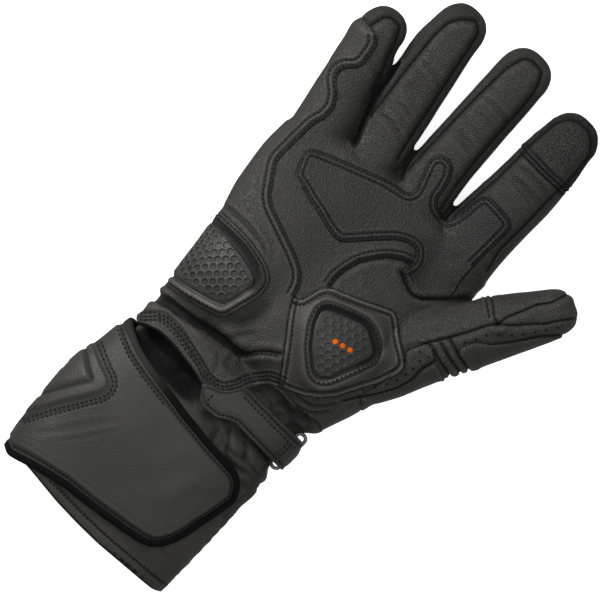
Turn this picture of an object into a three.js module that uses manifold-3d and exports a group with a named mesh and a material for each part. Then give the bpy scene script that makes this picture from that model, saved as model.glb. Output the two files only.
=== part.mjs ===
// A right-hand leather motorcycle gauntlet glove that lies on its back, palm up.
// Millimetres. X runs across the palm towards the thumb, Y along the hand towards the fingertips, Z up.
// Tables of the palm, the thumb and the panels are drawn on a pattern grid: a square is a 128th of the palm's width
// across, a 142nd of the palm's length along and a 48th of the palm's thickness up, counted from the palm's middle.

import * as THREE from "three";
import { mergeVertices } from "three/addons/utils/BufferGeometryUtils.js";
import Module from "manifold-3d";

const wasm = await Module();
wasm.setup();

// Driving sizes
const palmWidth = 128;
const palmLength = 142;
const palmThickness = 48;
const cuffLength = 97;
const leather = 2.2;
const gap = 0.3;
const seamHeight = 17;
const rootLine = 84;

const littleFinger = { length: 77, width: 30, depth: 28, tip: 13 };
const ringFinger = { length: 105, width: 31, depth: 29, tip: 15 };
const middleFinger = { length: 111.5, width: 30, depth: 29, tip: 14.5 };
const indexFinger = { length: 105, width: 35, depth: 30, tip: 15 };
const thumbSize = { width: 36, depth: 34, tip: 13 };

const panelThickness = 1.2;
const padThickness = 2.6;
const insertThickness = 1.9;
const sliderThickness = 3;
const surroundThickness = 2;
const ribHeight = 1.6;
const flapThickness = 3.2;
const chevronThickness = 1.4;
const bindingWidth = 2.2;
const hemThickness = 1.2;
const hemWidth = 8;
const strapThickness = 1.8;
const strapStandOff = 3;
const ringWire = 1.2;
const ringLength = 23;
const ringLevel = 21;

// Levels of the layers, counted outwards from the hand's outer face
const handInside = -leather;
const cuffOutside = handInside - gap;
const cuffInside = cuffOutside - leather;
const flapInside = cuffOutside + gap;
const flapOutside = flapInside + flapThickness;
const strapInside = gap;
const strapOutside = strapInside + strapThickness;

// The pattern grid
const across = palmWidth / 128;
const along = palmLength / 142;
const up = palmThickness / 48;
const wristLine = -62 * along;
const cuffSquare = cuffLength / 97;
const cuffY = (squares) => wristLine + squares * cuffSquare;

// Palm, from the hem at the wrist to the knuckles
const palmRows = [
  { y: -62, left: -52.5, right: 47.4, top: 45, floor: 2.1 },
  { y: -57, left: -52, right: 47.4, top: 44, floor: 2.1 },
  { y: -47, left: -52.2, right: 47.4, top: 41, floor: 2.1 },
  { y: -42, left: -52.6, right: 52.5, top: 39.5, floor: 0.6 },
  { y: -36, left: -52.9, right: 55, top: 43, floor: 0 },
  { y: -28, left: -54, right: 57.6, top: 46, floor: 0 },
  { y: -14, left: -55.6, right: 61, top: 48, floor: 0 },
  { y: 2, left: -58, right: 60, top: 47, floor: 0 },
  { y: 18, left: -62.4, right: 58, top: 44.5, floor: 0 },
  { y: 34, left: -65, right: 57, top: 42, floor: 0 },
  { y: 50, left: -66.8, right: 57.6, top: 38, floor: 0 },
  { y: 67, left: -67.6, right: 58.6, top: 33, floor: 0 },
];
const knuckleCap = 12;
const knuckleArch = 6;
const archMiddle = 12;

// Cuff, in squares of the cuff's length below the wrist line
const cuffRows = [
  { y: -97, left: -52, right: 55, top: 46, floor: 1 },
  { y: -80, left: -55, right: 56, top: 48, floor: 1 },
  { y: -58, left: -56.4, right: 56, top: 50, floor: 1 },
  { y: -38, left: -57.4, right: 55.3, top: 51, floor: 1 },
  { y: -18, left: -55, right: 54.8, top: 49.5, floor: 1 },
  { y: -13, left: -54.6, right: 54.4, top: 48.3, floor: 1 },
  { y: -8, left: -54, right: 49.8, top: 47, floor: 1 },
  { y: -3, left: -52.9, right: 48.4, top: 45.6, floor: 2.1 },
];

// Mounds and folds pressed into the palm's upper face
const mounds = [
  { x: 30, y: -6, wide: 24, long: 26, turn: 20, rise: 4.5 },
  { x: -40, y: -14, wide: 24, long: 20, turn: 0, rise: 3 },
  { x: -2, y: 22, wide: 16, long: 30, turn: 0, rise: -3 },
  { x: -26, y: -44, wide: 34, long: 4.5, turn: 8, rise: -6 },
  { x: -14, y: -50, wide: 20, long: 6, turn: -4, rise: 3 },
  { x: 20, y: -45, wide: 26, long: 5, turn: 3, rise: -3.5 },
  { x: -8, y: -24, wide: 6, long: 18, turn: 12, rise: -2.6 },
];

// Fingers: along is a share of the length from the hidden root, width and depth shares of the finger's own
const fingerRootY = 60;
const fingers = {
  little_finger: {
    size: littleFinger,
    rows: [
      { along: -0.16, x: -50, width: 0.9, depth: 0.98, z: 15.2 },
      { along: 0, x: -52, width: 0.98, depth: 1, z: 15.4 },
      { along: 0.26, x: -55.8, width: 1, depth: 1, z: 15.6 },
      { along: 0.52, x: -61, width: 0.93, depth: 0.95, z: 16.8 },
      { along: 0.72, x: -64.7, width: 0.9, depth: 0.9, z: 18.8 },
      { along: 0.83, x: -66.2, width: 0.83, depth: 0.84, z: 20 },
    ],
  },
  ring_finger: {
    size: ringFinger,
    rows: [
      { along: -0.1, x: -18.5, width: 0.82, depth: 1, z: 15.6 },
      { along: 0, x: -20.5, width: 0.86, depth: 1, z: 15.8 },
      { along: 0.19, x: -24.4, width: 0.88, depth: 1, z: 16 },
      { along: 0.38, x: -29.6, width: 0.95, depth: 0.96, z: 17 },
      { along: 0.57, x: -34.9, width: 1.02, depth: 0.93, z: 18.6 },
      { along: 0.72, x: -38, width: 1, depth: 0.88, z: 20.6 },
      { along: 0.857, x: -39.2, width: 0.87, depth: 0.8, z: 22.4 },
    ],
  },
  middle_finger: {
    size: middleFinger,
    rows: [
      { along: 0, x: 7, width: 0.94, depth: 1, z: 15.8 },
      { along: 0.18, x: 5, width: 1.02, depth: 1, z: 16 },
      { along: 0.36, x: 3.3, width: 1, depth: 0.96, z: 17 },
      { along: 0.6, x: 1.4, width: 0.96, depth: 0.92, z: 19 },
      { along: 0.76, x: 0.4, width: 0.95, depth: 0.86, z: 21.2 },
      { along: 0.87, x: -0.4, width: 0.93, depth: 0.8, z: 22.8 },
    ],
  },
  index_finger: {
    size: indexFinger,
    rows: [
      { along: 0, x: 40, width: 1, depth: 1, z: 16 },
      { along: 0.19, x: 40, width: 1.02, depth: 1, z: 16.2 },
      { along: 0.38, x: 40.3, width: 1, depth: 0.96, z: 17.2 },
      { along: 0.57, x: 40.6, width: 0.95, depth: 0.92, z: 18.8 },
      { along: 0.76, x: 39.8, width: 0.89, depth: 0.86, z: 21 },
      { along: 0.857, x: 39.4, width: 0.83, depth: 0.8, z: 22.4 },
    ],
  },
};

// Thumb: centres on the pattern grid, and the turn of each section about Z
const thumbRows = [
  { x: 45, y: -6, turn: -20, width: 0.98, depth: 1.06, z: 23 },
  { x: 51.4, y: 10.5, turn: -26, width: 1.02, depth: 1.06, z: 24.5 },
  { x: 61, y: 29, turn: -31, width: 1, depth: 1, z: 26 },
  { x: 73.3, y: 47.5, turn: -33, width: 0.93, depth: 0.92, z: 28 },
  { x: 83, y: 66.2, turn: -33, width: 0.84, depth: 0.85, z: 29.5 },
  { x: 93.4, y: 83, turn: -33, width: 0.7, depth: 0.74, z: 31 },
];
// The seam where the thumb joins the palm, from the crotch to the palm's side
const thumbSeam = { x: 61.5, y: 64, turn: -15 };

// Panel outlines on the pattern grid, seen from above, anticlockwise
const outlines = {
  side_reinforcement: [
    [-90, 121], [-90, 7], [-45, 6.5], [-30, 3.5], [-18, -0.5], [-8, -3], [-3, -1.5], [-6, 4.5], [-12, 10.5],
    [-20, 15.5], [-32, 19.5], [-45, 24.5], [-51, 31], [-55, 41], [-57.5, 52], [-58, 62], [-55.5, 72],
    [-55.5, 79], [-58.5, 85.5], [-66.5, 92], [-66.5, 97], [-61.5, 104], [-64, 114], [-67, 120.5],
  ],
  palm_patch: [
    [-50, 57], [-48, 44.5], [-45, 42], [-30, 40.5], [-18, 36.5], [-9, 34], [-4, 37], [1, 44], [9, 53.5], [17, 60.5],
    [22, 61], [26, 54], [27, 46], [31, 42], [38, 42], [45, 47], [47.5, 60], [46.5, 84], [46.5, 102], [31, 102],
    [29.5, 84], [21, 77.5], [13.5, 83], [10.5, 97], [5, 101], [-1, 99], [-3, 92], [0, 76], [-6, 71.5], [-30, 65],
  ],
  thumb_heel_pad: [
    [-3, -2.5], [9, -18], [22.5, -37], [33, -35], [42, -29.5], [49, -20], [54, -8], [57, 2], [58, 12], [47, 21.5],
    [36.5, 28], [27, 22.5], [15, 17.5], [5, 12.5],
  ],
  honeycomb_insert: [
    [11, 1], [20, -12.5], [28, -21.5], [33.5, -21], [39, -12.5], [44, -2], [47, 5.5], [41, 12.5], [31, 16.5],
    [21, 13.5], [12.5, 7.5],
  ],
  heel_slider: [
    [-80, -1], [-80, -35], [-56, -35], [-40, -33], [-28, -30.5], [-23.5, -27], [-22.5, -18], [-23, -9.5],
    [-30, -6], [-45, -3], [-58, -1.5],
  ],
  slider_surround: [
    [-80, 3.5], [-80, -41], [-52, -40.5], [-35, -37.5], [-22.5, -33], [-19, -28], [-17.5, -17], [-18.5, -6.5],
    [-26, -2], [-40, 1.5], [-56, 3.3],
  ],
  index_tip_patch: [
    [29, 133], [51.5, 133], [53, 147], [49.5, 157], [44, 162], [34, 162], [29.5, 156], [28, 147],
  ],
  thumb_knuckle_panel: [
    [76, 39.5], [92, 42], [112, 78], [103.5, 80], [97.5, 73], [88, 59], [82, 53.5], [77, 49], [75, 45],
  ],
  thumb_side_panel: [
    [54, -16], [90, -16], [90, 21], [70, 25.5], [61, 28], [56.5, 25.5], [54.5, 20.5], [60, 12], [59.5, 1],
  ],
  wrist_strap: [
    [-3, -63], [3, -69.5], [10, -70.5], [16, -68.5], [22, -65.3], [80, -65.3], [80, -49], [12, -49], [6, -57],
  ],
};

// Ribs of the stretch panel at the thumb's lower knuckle: each runs across the thumb's outer side
const ribs = { count: 3, x: 72, y: 32, turn: -14, pitch: 4.2, width: 2.8, length: 26 };

// The flap's outline, in squares across and in squares of the cuff's length below the wrist line
const flapOutline = [
  [-90, -5.5], [-90, -98], [-50, -97.5], [-34, -92], [-18, -88], [5, -84.5], [28, -82], [36.5, -77.5], [41, -70],
  [44.5, -58], [47, -46], [49.5, -33], [48, -28], [44, -23.5], [37, -20.8], [18, -18.7], [-5, -16], [-30, -12.8],
  [-45, -9.8], [-53, -6.5],
];
const flapTurnUp = 9;
const chevronOutline = [
  [-90, -19], [-90, -86], [-57, -80], [-48, -66], [-38, -52], [-32, -41], [-31, -34], [-34, -30], [-45, -26],
  [-58, -22],
];

const palmSides = 24;
const fingerSides = 12;
const boxiness = { palm: 2.7, finger: 2.3 };
const capSteps = { palm: 2, finger: 3 };
const far = 400;

// A closed triangle mesh from rings of points, each end closed to its middle or to a given pole
function solidFromRings(rings, startPole, endPole) {
  const sides = rings[0].length;
  const points = rings.flat();
  const faces = [];
  for (let r = 0; r + 1 < rings.length; r++)
    for (let i = 0; i < sides; i++) {
      const a = r * sides + i;
      const b = r * sides + ((i + 1) % sides);
      faces.push(a, b, a + sides, b, b + sides, a + sides);
    }
  const start = points.push(startPole) - 1;
  const end = points.push(endPole) - 1;
  const last = (rings.length - 1) * sides;
  for (let i = 0; i < sides; i++) {
    const next = (i + 1) % sides;
    faces.push(start, next, i, end, last + i, last + next);
  }
  return manifoldOf(points.flat(), faces);
}

function manifoldOf(coordinates, faces) {
  const geometry = new THREE.BufferGeometry();
  geometry.setAttribute("position", new THREE.Float32BufferAttribute(coordinates, 3));
  geometry.setIndex(faces);
  const merged = mergeVertices(geometry, 1e-3);
  return new wasm.Manifold(
    new wasm.Mesh({
      numProp: 3,
      vertProperties: merged.attributes.position.array,
      triVerts: new Uint32Array(merged.index.array),
    }),
  );
}

const middleOf = (ring) => [0, 1, 2].map((k) => ring.reduce((sum, p) => sum + p[k], 0) / ring.length);
const radians = THREE.MathUtils.degToRad;
const power = (value, boxy) => Math.sign(value) * Math.abs(value) ** (2 / boxy);

// One section: a rounded box round (x, y, z), turned about Z, kept above its floor
function ringOf({ x, y, z, halfWidth, halfDepth, turn = 0, floor = -far }, sides, boxy, shape = (p) => p) {
  const cosine = Math.cos(radians(turn));
  const sine = Math.sin(radians(turn));
  return Array.from({ length: sides }, (_, i) => {
    const angle = (-i / sides) * 2 * Math.PI;
    const side = power(Math.cos(angle), boxy) * halfWidth;
    const height = power(Math.sin(angle), boxy) * halfDepth;
    return shape([x + side * cosine, y + side * sine, Math.max(z + height, floor)]);
  });
}

// A round end: rings that shrink as a quarter circle does, and its pole
function capRings(row, direction, reach, steps, sides, boxy, shape = (p) => p) {
  const rings = Array.from({ length: steps }, (_, i) => {
    const angle = ((i + 1) / (steps + 1)) * 90;
    const shrink = Math.cos(radians(angle)) ** 0.8;
    const step = reach * Math.sin(radians(angle));
    return ringOf(
      {
        ...row,
        x: row.x + direction[0] * step,
        y: row.y + direction[1] * step,
        halfWidth: row.halfWidth * shrink,
        halfDepth: row.halfDepth * shrink,
      },
      sides,
      boxy,
      shape,
    );
  });
  const pole = shape([row.x + direction[0] * reach, row.y + direction[1] * reach, row.z]);
  return { rings, pole };
}

// How much the palm's upper face rises or sinks at a point
function relief(x, y) {
  return mounds.reduce((sum, m) => {
    const c = Math.cos(radians(m.turn));
    const s = Math.sin(radians(m.turn));
    const dx = x - m.x * across;
    const dy = y - m.y * along;
    const u = (dx * c + dy * s) / (m.wide * across);
    const v = (-dx * s + dy * c) / (m.long * along);
    return sum + m.rise * up * Math.exp(-u * u - v * v);
  }, 0);
}

function armRow(row, y, offset) {
  const left = row.left * across - offset;
  const right = row.right * across + offset;
  const top = row.top * up + offset;
  const bottom = -3 * up - offset;
  return {
    x: (left + right) / 2,
    y,
    z: (top + bottom) / 2,
    halfWidth: (right - left) / 2,
    halfDepth: (top - bottom) / 2,
    floor: row.floor - offset,
  };
}

// Lifts the upper face by the relief and bows the knuckle end
function palmShape([x, y, z]) {
  const half = (palmThickness * 0.45);
  const share = THREE.MathUtils.smoothstep(z, half * 0.7, half * 1.6);
  const bow = THREE.MathUtils.smoothstep(y, 25 * along, 75 * along);
  const aside = (x - archMiddle * across) / (palmWidth / 2);
  return [x, y - knuckleArch * along * bow * aside * aside, z + share * relief(x, y)];
}

function palmSolid(offset, sides = palmSides) {
  const rows = palmRows.map((row) => armRow(row, row.y * along, offset));
  const rings = rows.map((row) => ringOf(row, sides, boxiness.palm, palmShape));
  const cap = capRings(rows.at(-1), [0, 1], knuckleCap * along + offset, capSteps.palm, sides, boxiness.palm, palmShape);
  return solidFromRings([...rings, ...cap.rings], middleOf(rings[0]), cap.pole);
}

// The cuff's inner sleeve goes on inside the wrist, so its last rows are the palm's first
function cuffSolid(offset, sides = palmSides) {
  const rows = [
    ...cuffRows.map((row) => armRow(row, cuffY(row.y), offset)),
    ...palmRows.slice(0, 4).map((row) => armRow(row, row.y * along, offset)),
  ];
  const rings = rows.map((row) => ringOf(row, sides, boxiness.palm, palmShape));
  return solidFromRings(rings, middleOf(rings[0]), middleOf(rings.at(-1)));
}

function fingerSolid({ size, rows }, offset, sides = fingerSides) {
  const reach = size.tip + offset;
  const made = rows.map((row) => ({
    x: row.x * across,
    y: fingerRootY * along + row.along * size.length,
    z: row.z * up,
    halfWidth: (row.width * size.width) / 2 + offset,
    halfDepth: (row.depth * size.depth) / 2 + offset,
    floor: -offset,
  }));
  const rings = made.map((row) => ringOf(row, sides, boxiness.finger));
  const cap = capRings(made.at(-1), [0, 1], reach, capSteps.finger, sides, boxiness.finger);
  return solidFromRings([...rings, ...cap.rings], middleOf(rings[0]), cap.pole);
}

function thumbSolid(offset, sides = fingerSides) {
  const made = thumbRows.map((row) => ({
    x: row.x * across,
    y: row.y * along,
    z: row.z * up,
    turn: row.turn,
    halfWidth: (row.width * thumbSize.width) / 2 + offset,
    halfDepth: (row.depth * thumbSize.depth) / 2 + offset,
    floor: -offset,
  }));
  const rings = made.map((row) => ringOf(row, sides, boxiness.finger));
  const last = made.at(-1);
  const ahead = [-Math.sin(radians(last.turn)), Math.cos(radians(last.turn))];
  const cap = capRings(last, ahead, thumbSize.tip + offset, capSteps.finger, sides, boxiness.finger);
  return solidFromRings([...rings, ...cap.rings], middleOf(rings[0]), cap.pole);
}

// The whole hand grown by an offset
function handSolid(offset) {
  return Object.values(fingers).reduce(
    (sum, finger) => sum.add(fingerSolid(finger, offset)),
    palmSolid(offset).add(thumbSolid(offset)),
  );
}

// A layer that lies on the hand or the cuff between two levels
const layer = (solid, inside, outside) => solid(outside).subtract(solid(inside));

// Regions that cut a layer to its outline
function boxRegion(low, high) {
  const size = low.map((v, k) => high[k] - v);
  const geometry = new THREE.BoxGeometry(...size);
  geometry.translate(...low.map((v, k) => v + size[k] / 2));
  return regionOf(geometry);
}

function regionOf(geometry) {
  const flat = geometry.index ? geometry.toNonIndexed() : geometry;
  const count = flat.attributes.position.count;
  return manifoldOf(Array.from(flat.attributes.position.array), Array.from({ length: count }, (_, i) => i));
}

const grid = (points) => points.map(([x, y]) => new THREE.Vector2(x * across, y * along));
const cuffGrid = (points) => points.map(([x, y]) => new THREE.Vector2(x * across, cuffY(y)));

// Moves each side of an outline outwards by a distance
function grown(points, distance) {
  return points.map((point, i) => {
    const before = points.at(i - 1);
    const after = points[(i + 1) % points.length];
    const a = point.clone().sub(before).normalize();
    const b = after.clone().sub(point).normalize();
    const miter = new THREE.Vector2(a.y + b.y, -a.x - b.x).normalize();
    return point.clone().addScaledVector(miter, distance / Math.max(miter.dot(new THREE.Vector2(a.y, -a.x)), 0.5));
  });
}

function prism(points, bottom = seamHeight * up + gap / 2, top = 90 * up) {
  const geometry = new THREE.ExtrudeGeometry(new THREE.Shape(points), {
    depth: top - bottom,
    bevelEnabled: false,
  });
  geometry.translate(0, 0, bottom);
  return regionOf(geometry);
}

const halfUp = boxRegion([-far, -far, seamHeight * up + gap / 2], [far, far, far]);
const halfDown = boxRegion([-far, -far, -far], [far, far, seamHeight * up - gap / 2]);
const beyondRoot = boxRegion([-far, rootLine * along + gap / 2, -far], [far, far, far]);
const belowRoot = boxRegion([-far, wristLine, -far], [far, rootLine * along - gap / 2, far]);

// The half space beyond the thumb's seam, moved along its normal
function beyondThumbSeam(shift) {
  const geometry = new THREE.BoxGeometry(far, far, far);
  geometry.translate(far / 2 + shift, 0, 0);
  geometry.rotateZ(radians(-thumbSeam.turn));
  geometry.translate(thumbSeam.x * across, thumbSeam.y * along, 0);
  const indexSide = boxRegion([-far, 66 * along, -far], [60.5 * across, far, far]);
  return regionOf(geometry).subtract(indexSide);
}

const colours = {
  leather: { color: 0x3b3a38, roughness: 0.55, metalness: 0 },
  softLeather: { color: 0x343331, roughness: 0.6, metalness: 0 },
  suede: { color: 0x2a2a2a, roughness: 0.85, metalness: 0 },
  binding: { color: 0x121212, roughness: 0.7, metalness: 0 },
  rubber: { color: 0x4a4a4a, roughness: 0.6, metalness: 0 },
  metal: { color: 0x6d6d70, roughness: 0.35, metalness: 0.9 },
};

const glove = new THREE.Group();

function addNode(name, solid, colour) {
  const mesh = solid.getMesh();
  const geometry = new THREE.BufferGeometry();
  geometry.setAttribute("position", new THREE.BufferAttribute(new Float32Array(mesh.vertProperties), 3));
  geometry.setIndex(new THREE.BufferAttribute(new Uint32Array(mesh.triVerts), 1));
  geometry.computeVertexNormals();
  const node = new THREE.Mesh(geometry, new THREE.MeshStandardMaterial(colours[colour]));
  node.name = name;
  glove.add(node);
}

const largest = (solid) => solid.decompose().sort((a, b) => b.volume() - a.volume())[0];

// Hand: palm and back panels, sewn along the sides
const handShell = layer(handSolid, handInside, 0);
const palmZone = belowRoot.subtract(beyondThumbSeam(-gap / 2));
addNode("palm_panel", largest(handShell.intersect(palmZone).intersect(halfUp)), "leather");
addNode("back_panel", largest(handShell.intersect(palmZone).intersect(halfDown)), "softLeather");

// Finger and thumb stalls
for (const [name, finger] of Object.entries(fingers)) {
  const stall = fingerSolid(finger, 0).subtract(fingerSolid(finger, handInside));
  addNode(name, largest(stall.intersect(beyondRoot)), "leather");
}
addNode("thumb", largest(handShell.intersect(beyondThumbSeam(gap / 2)).subtract(beyondRoot.intersect(
  boxRegion([-far, -far, -far], [60.5 * across, far, far])))), "leather");

// Panels sewn on the palm side
function panel(name, points, thickness, colour, cut) {
  const sheet = layer(handSolid, gap, gap + thickness).intersect(prism(points));
  addNode(name, largest(cut ? sheet.subtract(cut) : sheet), colour);
}

const insertHole = prism(grown(grid(outlines.honeycomb_insert), gap));
const sliderHole = prism(grown(grid(outlines.heel_slider), gap));
panel("side_reinforcement", grid(outlines.side_reinforcement), panelThickness, "leather");
panel("palm_patch", grid(outlines.palm_patch), panelThickness, "softLeather");
panel("thumb_heel_pad", grid(outlines.thumb_heel_pad), padThickness, "leather", insertHole);
panel("honeycomb_insert", grid(outlines.honeycomb_insert), insertThickness, "rubber");
panel("slider_surround", grid(outlines.slider_surround), surroundThickness, "leather", sliderHole);
panel("heel_slider", grid(outlines.heel_slider), sliderThickness, "rubber");
panel("index_tip_patch", grid(outlines.index_tip_patch), panelThickness, "suede");
panel("thumb_knuckle_panel", grid(outlines.thumb_knuckle_panel), panelThickness, "leather");
const heelHole = prism(grown(grid(outlines.thumb_heel_pad), 2 * gap));
panel("thumb_side_panel", grid(outlines.thumb_side_panel), panelThickness, "leather", heelHole);

// Stretch ribs on the thumb's outer side: bars joined by a thin sheet
const ribRegion = (step, width) => {
  const geometry = new THREE.BoxGeometry(ribs.length * across, width * along, far);
  geometry.translate(ribs.length * across * 0.25, step * ribs.pitch * along, 0);
  geometry.rotateZ(radians(ribs.turn));
  geometry.translate(ribs.x * across, ribs.y * along, seamHeight * up + far / 2);
  return regionOf(geometry);
};
const ribSpan = ribs.count * ribs.pitch - (ribs.pitch - ribs.width);
let ribPanel = layer(handSolid, gap, gap + panelThickness / 2).intersect(ribRegion(0, ribSpan));
for (let i = 0; i < ribs.count; i++)
  ribPanel = ribPanel.add(
    layer(handSolid, gap, gap + ribHeight).intersect(ribRegion(i - (ribs.count - 1) / 2, ribs.width)),
  );
addNode("thumb_stretch_ribs", largest(ribPanel), "softLeather");

// Cuff: an inner sleeve that runs up inside the hand
addNode("inner_cuff", layer(cuffSolid, cuffInside, cuffOutside).intersect(
  boxRegion([-far, cuffY(-95), -far], [far, -49 * along, far])), "softLeather");

// The flap: it covers the back, wraps round the little finger's side and closes over the palm side
const flapSheet = layer(cuffSolid, flapInside, flapOutside);
const flapPrism = prism(cuffGrid(flapOutline), seamHeight * up - gap);
const backRegion = boxRegion([-far, cuffY(-97), -far], [0, wristLine - gap, seamHeight * up]).add(
  boxRegion([-far, cuffY(-97), -far], [far, wristLine - gap, flapTurnUp * up]),
);
addNode("cuff_flap", largest(flapSheet.intersect(flapPrism.add(backRegion))), "leather");

const bindingRing = prism(grown(cuffGrid(flapOutline), bindingWidth + gap)).subtract(
  prism(grown(cuffGrid(flapOutline), gap)),
);
const freeEdge = boxRegion([-49 * across, cuffY(-97), seamHeight * up], [far, wristLine - 6 * along, far]);
addNode("flap_binding", largest(flapSheet.intersect(bindingRing).intersect(freeEdge)), "binding");

const chevron = layer(cuffSolid, flapOutside + gap, flapOutside + gap + chevronThickness);
addNode("chevron_panel", largest(chevron.intersect(prism(cuffGrid(chevronOutline)))), "leather");

// The hem of the sleeve's mouth, on the palm side beside the flap
const hemRegion = boxRegion([-30 * across, cuffY(-95), seamHeight * up], [far, cuffY(-95 + hemWidth), far]);
const hemSheet = layer(cuffSolid, flapInside, flapInside + hemThickness).intersect(hemRegion);
addNode("cuff_hem", largest(hemSheet.subtract(prism(grown(cuffGrid(flapOutline), bindingWidth + 2 * gap)))), "leather");

// The wrist strap stands off the hand at the thumb's side, where the ring passes under it
const strapRows = palmRows.slice(0, 4).map((row) => ({ ...row, right: row.right + strapStandOff / across }));
function strapSolid(offset) {
  const rings = strapRows.map((row) =>
    ringOf(armRow(row, row.y * along, offset), palmSides, boxiness.palm, palmShape));
  rings.unshift(rings[0].map(([x, y, z]) => [x, y - 12 * along, z]));
  return solidFromRings(rings, middleOf(rings[0]), middleOf(rings.at(-1)));
}
const strapBack = boxRegion([8 * across, -61.5 * along, -far], [far, -49 * along, seamHeight * up]);
const strapTop = prism(grid(outlines.wrist_strap), seamHeight * up - gap);
addNode("wrist_strap", largest(layer(strapSolid, strapInside, strapOutside).intersect(strapTop.add(strapBack))), "leather");

// The wire ring round the strap: a rounded rectangle that lies level at the wrist's side
const ringCorner = 2 * ringWire;
const wristEdge = palmRows[0].right * across;
const ringLeft = wristEdge + gap + ringWire;
const ringRight = wristEdge + strapStandOff + strapOutside + gap + ringWire;
const ringMiddle = -57.5 * along;
function wireLoop(path, radius, sides) {
  const rings = path.map((point, i) => {
    const ahead = path[(i + 1) % path.length].clone().sub(path.at(i - 1)).normalize();
    return Array.from({ length: sides }, (_, k) => {
      const angle = (k / sides) * 2 * Math.PI;
      const side = Math.cos(angle) * radius;
      return [point.x + ahead.y * side, point.y - ahead.x * side, ringLevel * up + Math.sin(angle) * radius];
    });
  });
  const faces = [];
  rings.forEach((_, r) => {
    const here = r * sides;
    const there = ((r + 1) % rings.length) * sides;
    for (let i = 0; i < sides; i++) {
      const next = (i + 1) % sides;
      faces.push(here + i, there + i, here + next, here + next, there + i, there + next);
    }
  });
  return manifoldOf(rings.flat(2), faces);
}
const corner = (x, y, from) =>
  [0, 30, 60, 90].map((step) => {
    const angle = radians(from + step);
    return new THREE.Vector2(x + ringCorner * Math.cos(angle), y + ringCorner * Math.sin(angle));
  });
const halfRing = ringLength / 2 - ringWire - ringCorner;
const ringPath = [
  ...corner(ringRight - ringCorner, ringMiddle - halfRing, -90),
  ...corner(ringRight - ringCorner, ringMiddle + halfRing, 0),
  ...corner(ringLeft + ringCorner, ringMiddle + halfRing, 90),
  ...corner(ringLeft + ringCorner, ringMiddle - halfRing, 180),
];
addNode("strap_ring", wireLoop(ringPath, ringWire, 6), "metal");

// The origin goes to the middle of the glove's footprint
const bounds = new THREE.Box3().setFromObject(glove);
const middle = bounds.getCenter(new THREE.Vector3());
for (const node of glove.children) node.geometry.translate(-middle.x, -middle.y, -bounds.min.z);

export default glove;
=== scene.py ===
# Leather motorcycle gauntlet glove, right hand, lying on its back with the palm up.
# Lengths in the tables are millimetres on the glove's own drawing: x across the palm to the thumb,
# y along the hand to the fingertips, z up. toRow() brings a point to the frame's place, in metres.

import math

import bpy
import numpy as np
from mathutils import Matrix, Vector
from mathutils.bvhtree import BVHTree


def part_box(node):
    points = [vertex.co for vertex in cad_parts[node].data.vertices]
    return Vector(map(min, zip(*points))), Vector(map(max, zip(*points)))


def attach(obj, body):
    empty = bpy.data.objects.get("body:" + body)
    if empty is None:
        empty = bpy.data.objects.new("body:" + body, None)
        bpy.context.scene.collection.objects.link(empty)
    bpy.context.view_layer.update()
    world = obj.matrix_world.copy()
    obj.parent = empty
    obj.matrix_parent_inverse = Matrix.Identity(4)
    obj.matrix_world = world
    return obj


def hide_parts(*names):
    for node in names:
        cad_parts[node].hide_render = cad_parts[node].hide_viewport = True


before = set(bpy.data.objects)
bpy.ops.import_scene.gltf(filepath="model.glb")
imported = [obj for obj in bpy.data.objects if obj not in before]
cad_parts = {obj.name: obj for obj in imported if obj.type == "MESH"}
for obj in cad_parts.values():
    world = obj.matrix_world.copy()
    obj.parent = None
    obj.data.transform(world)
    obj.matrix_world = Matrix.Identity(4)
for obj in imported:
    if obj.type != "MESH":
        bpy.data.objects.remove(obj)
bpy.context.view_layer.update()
print("frame loaded")

palmLow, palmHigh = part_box("palm_panel")
ringLow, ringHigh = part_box("strap_ring")
shift = np.array([55.2 - ringHigh.x * 1000, -62 - palmLow.y * 1000, 0])


def toRow(points):
    return (np.asarray(points, float) - shift) / 1000


def toDrawing(points):
    return np.asarray(points, float) * 1000 + shift


# camera
camera = {"lens": 480, "fieldWidth": 300, "lookAt": (0, 0, 20), "roll": 45}


def addCamera():
    bpy.ops.object.camera_add()
    eye = bpy.context.object
    eye.name = "photoCamera"
    eye.data.sensor_width = 36
    eye.data.lens = camera["lens"]
    target = toRow(camera["lookAt"])
    away = camera["fieldWidth"] / 1000 * camera["lens"] / 36
    eye.location = (target[0], target[1], target[2] + away)
    eye.rotation_euler = (0, 0, math.radians(camera["roll"]))
    eye.data.clip_end = 10
    bpy.context.scene.camera = eye


addCamera()


# small helpers for curves, distances and noise
def smoothInterp(wanted, known, values):
    known, values = np.asarray(known, float), np.asarray(values, float)
    slopes = np.gradient(values, known)
    i = np.clip(np.searchsorted(known, wanted) - 1, 0, len(known) - 2)
    gap = known[i + 1] - known[i]
    t = np.clip((wanted - known[i]) / gap, 0, 1)
    return (
        (1 + 2 * t) * (1 - t) ** 2 * values[i]
        + t * (1 - t) ** 2 * gap * slopes[i]
        + t * t * (3 - 2 * t) * values[i + 1]
        + t * t * (t - 1) * gap * slopes[i + 1]
    )


def smoothstep(low, high, value):
    t = np.clip((value - low) / (high - low), 0, 1)
    return t * t * (3 - 2 * t)


# each point of a closed line drawn towards its neighbours
def softened(line):
    ring = line[:-1]
    ring = ring * 0.5 + 0.25 * (np.roll(ring, 1, 0) + np.roll(ring, -1, 0))
    return np.vstack([ring, ring[:1]])


def hump(distance, width):
    return np.exp(-((distance / width) ** 2))


# a line through the points with its corners rounded by about the radius given, and even steps
def smoothLine(points, closed=False, step=1.0, round=1.6):
    points = np.asarray(points, float)
    if closed:
        points = np.vstack([points, points[:1]])
    line = evenLine(points, 0.4)
    for _ in range(int(4 * (round / 0.8) ** 2)):
        if closed:
            line = softened(line)
        else:
            line[1:-1] = line[1:-1] * 0.5 + 0.25 * (line[:-2] + line[2:])
    return evenLine(line, step)


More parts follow.
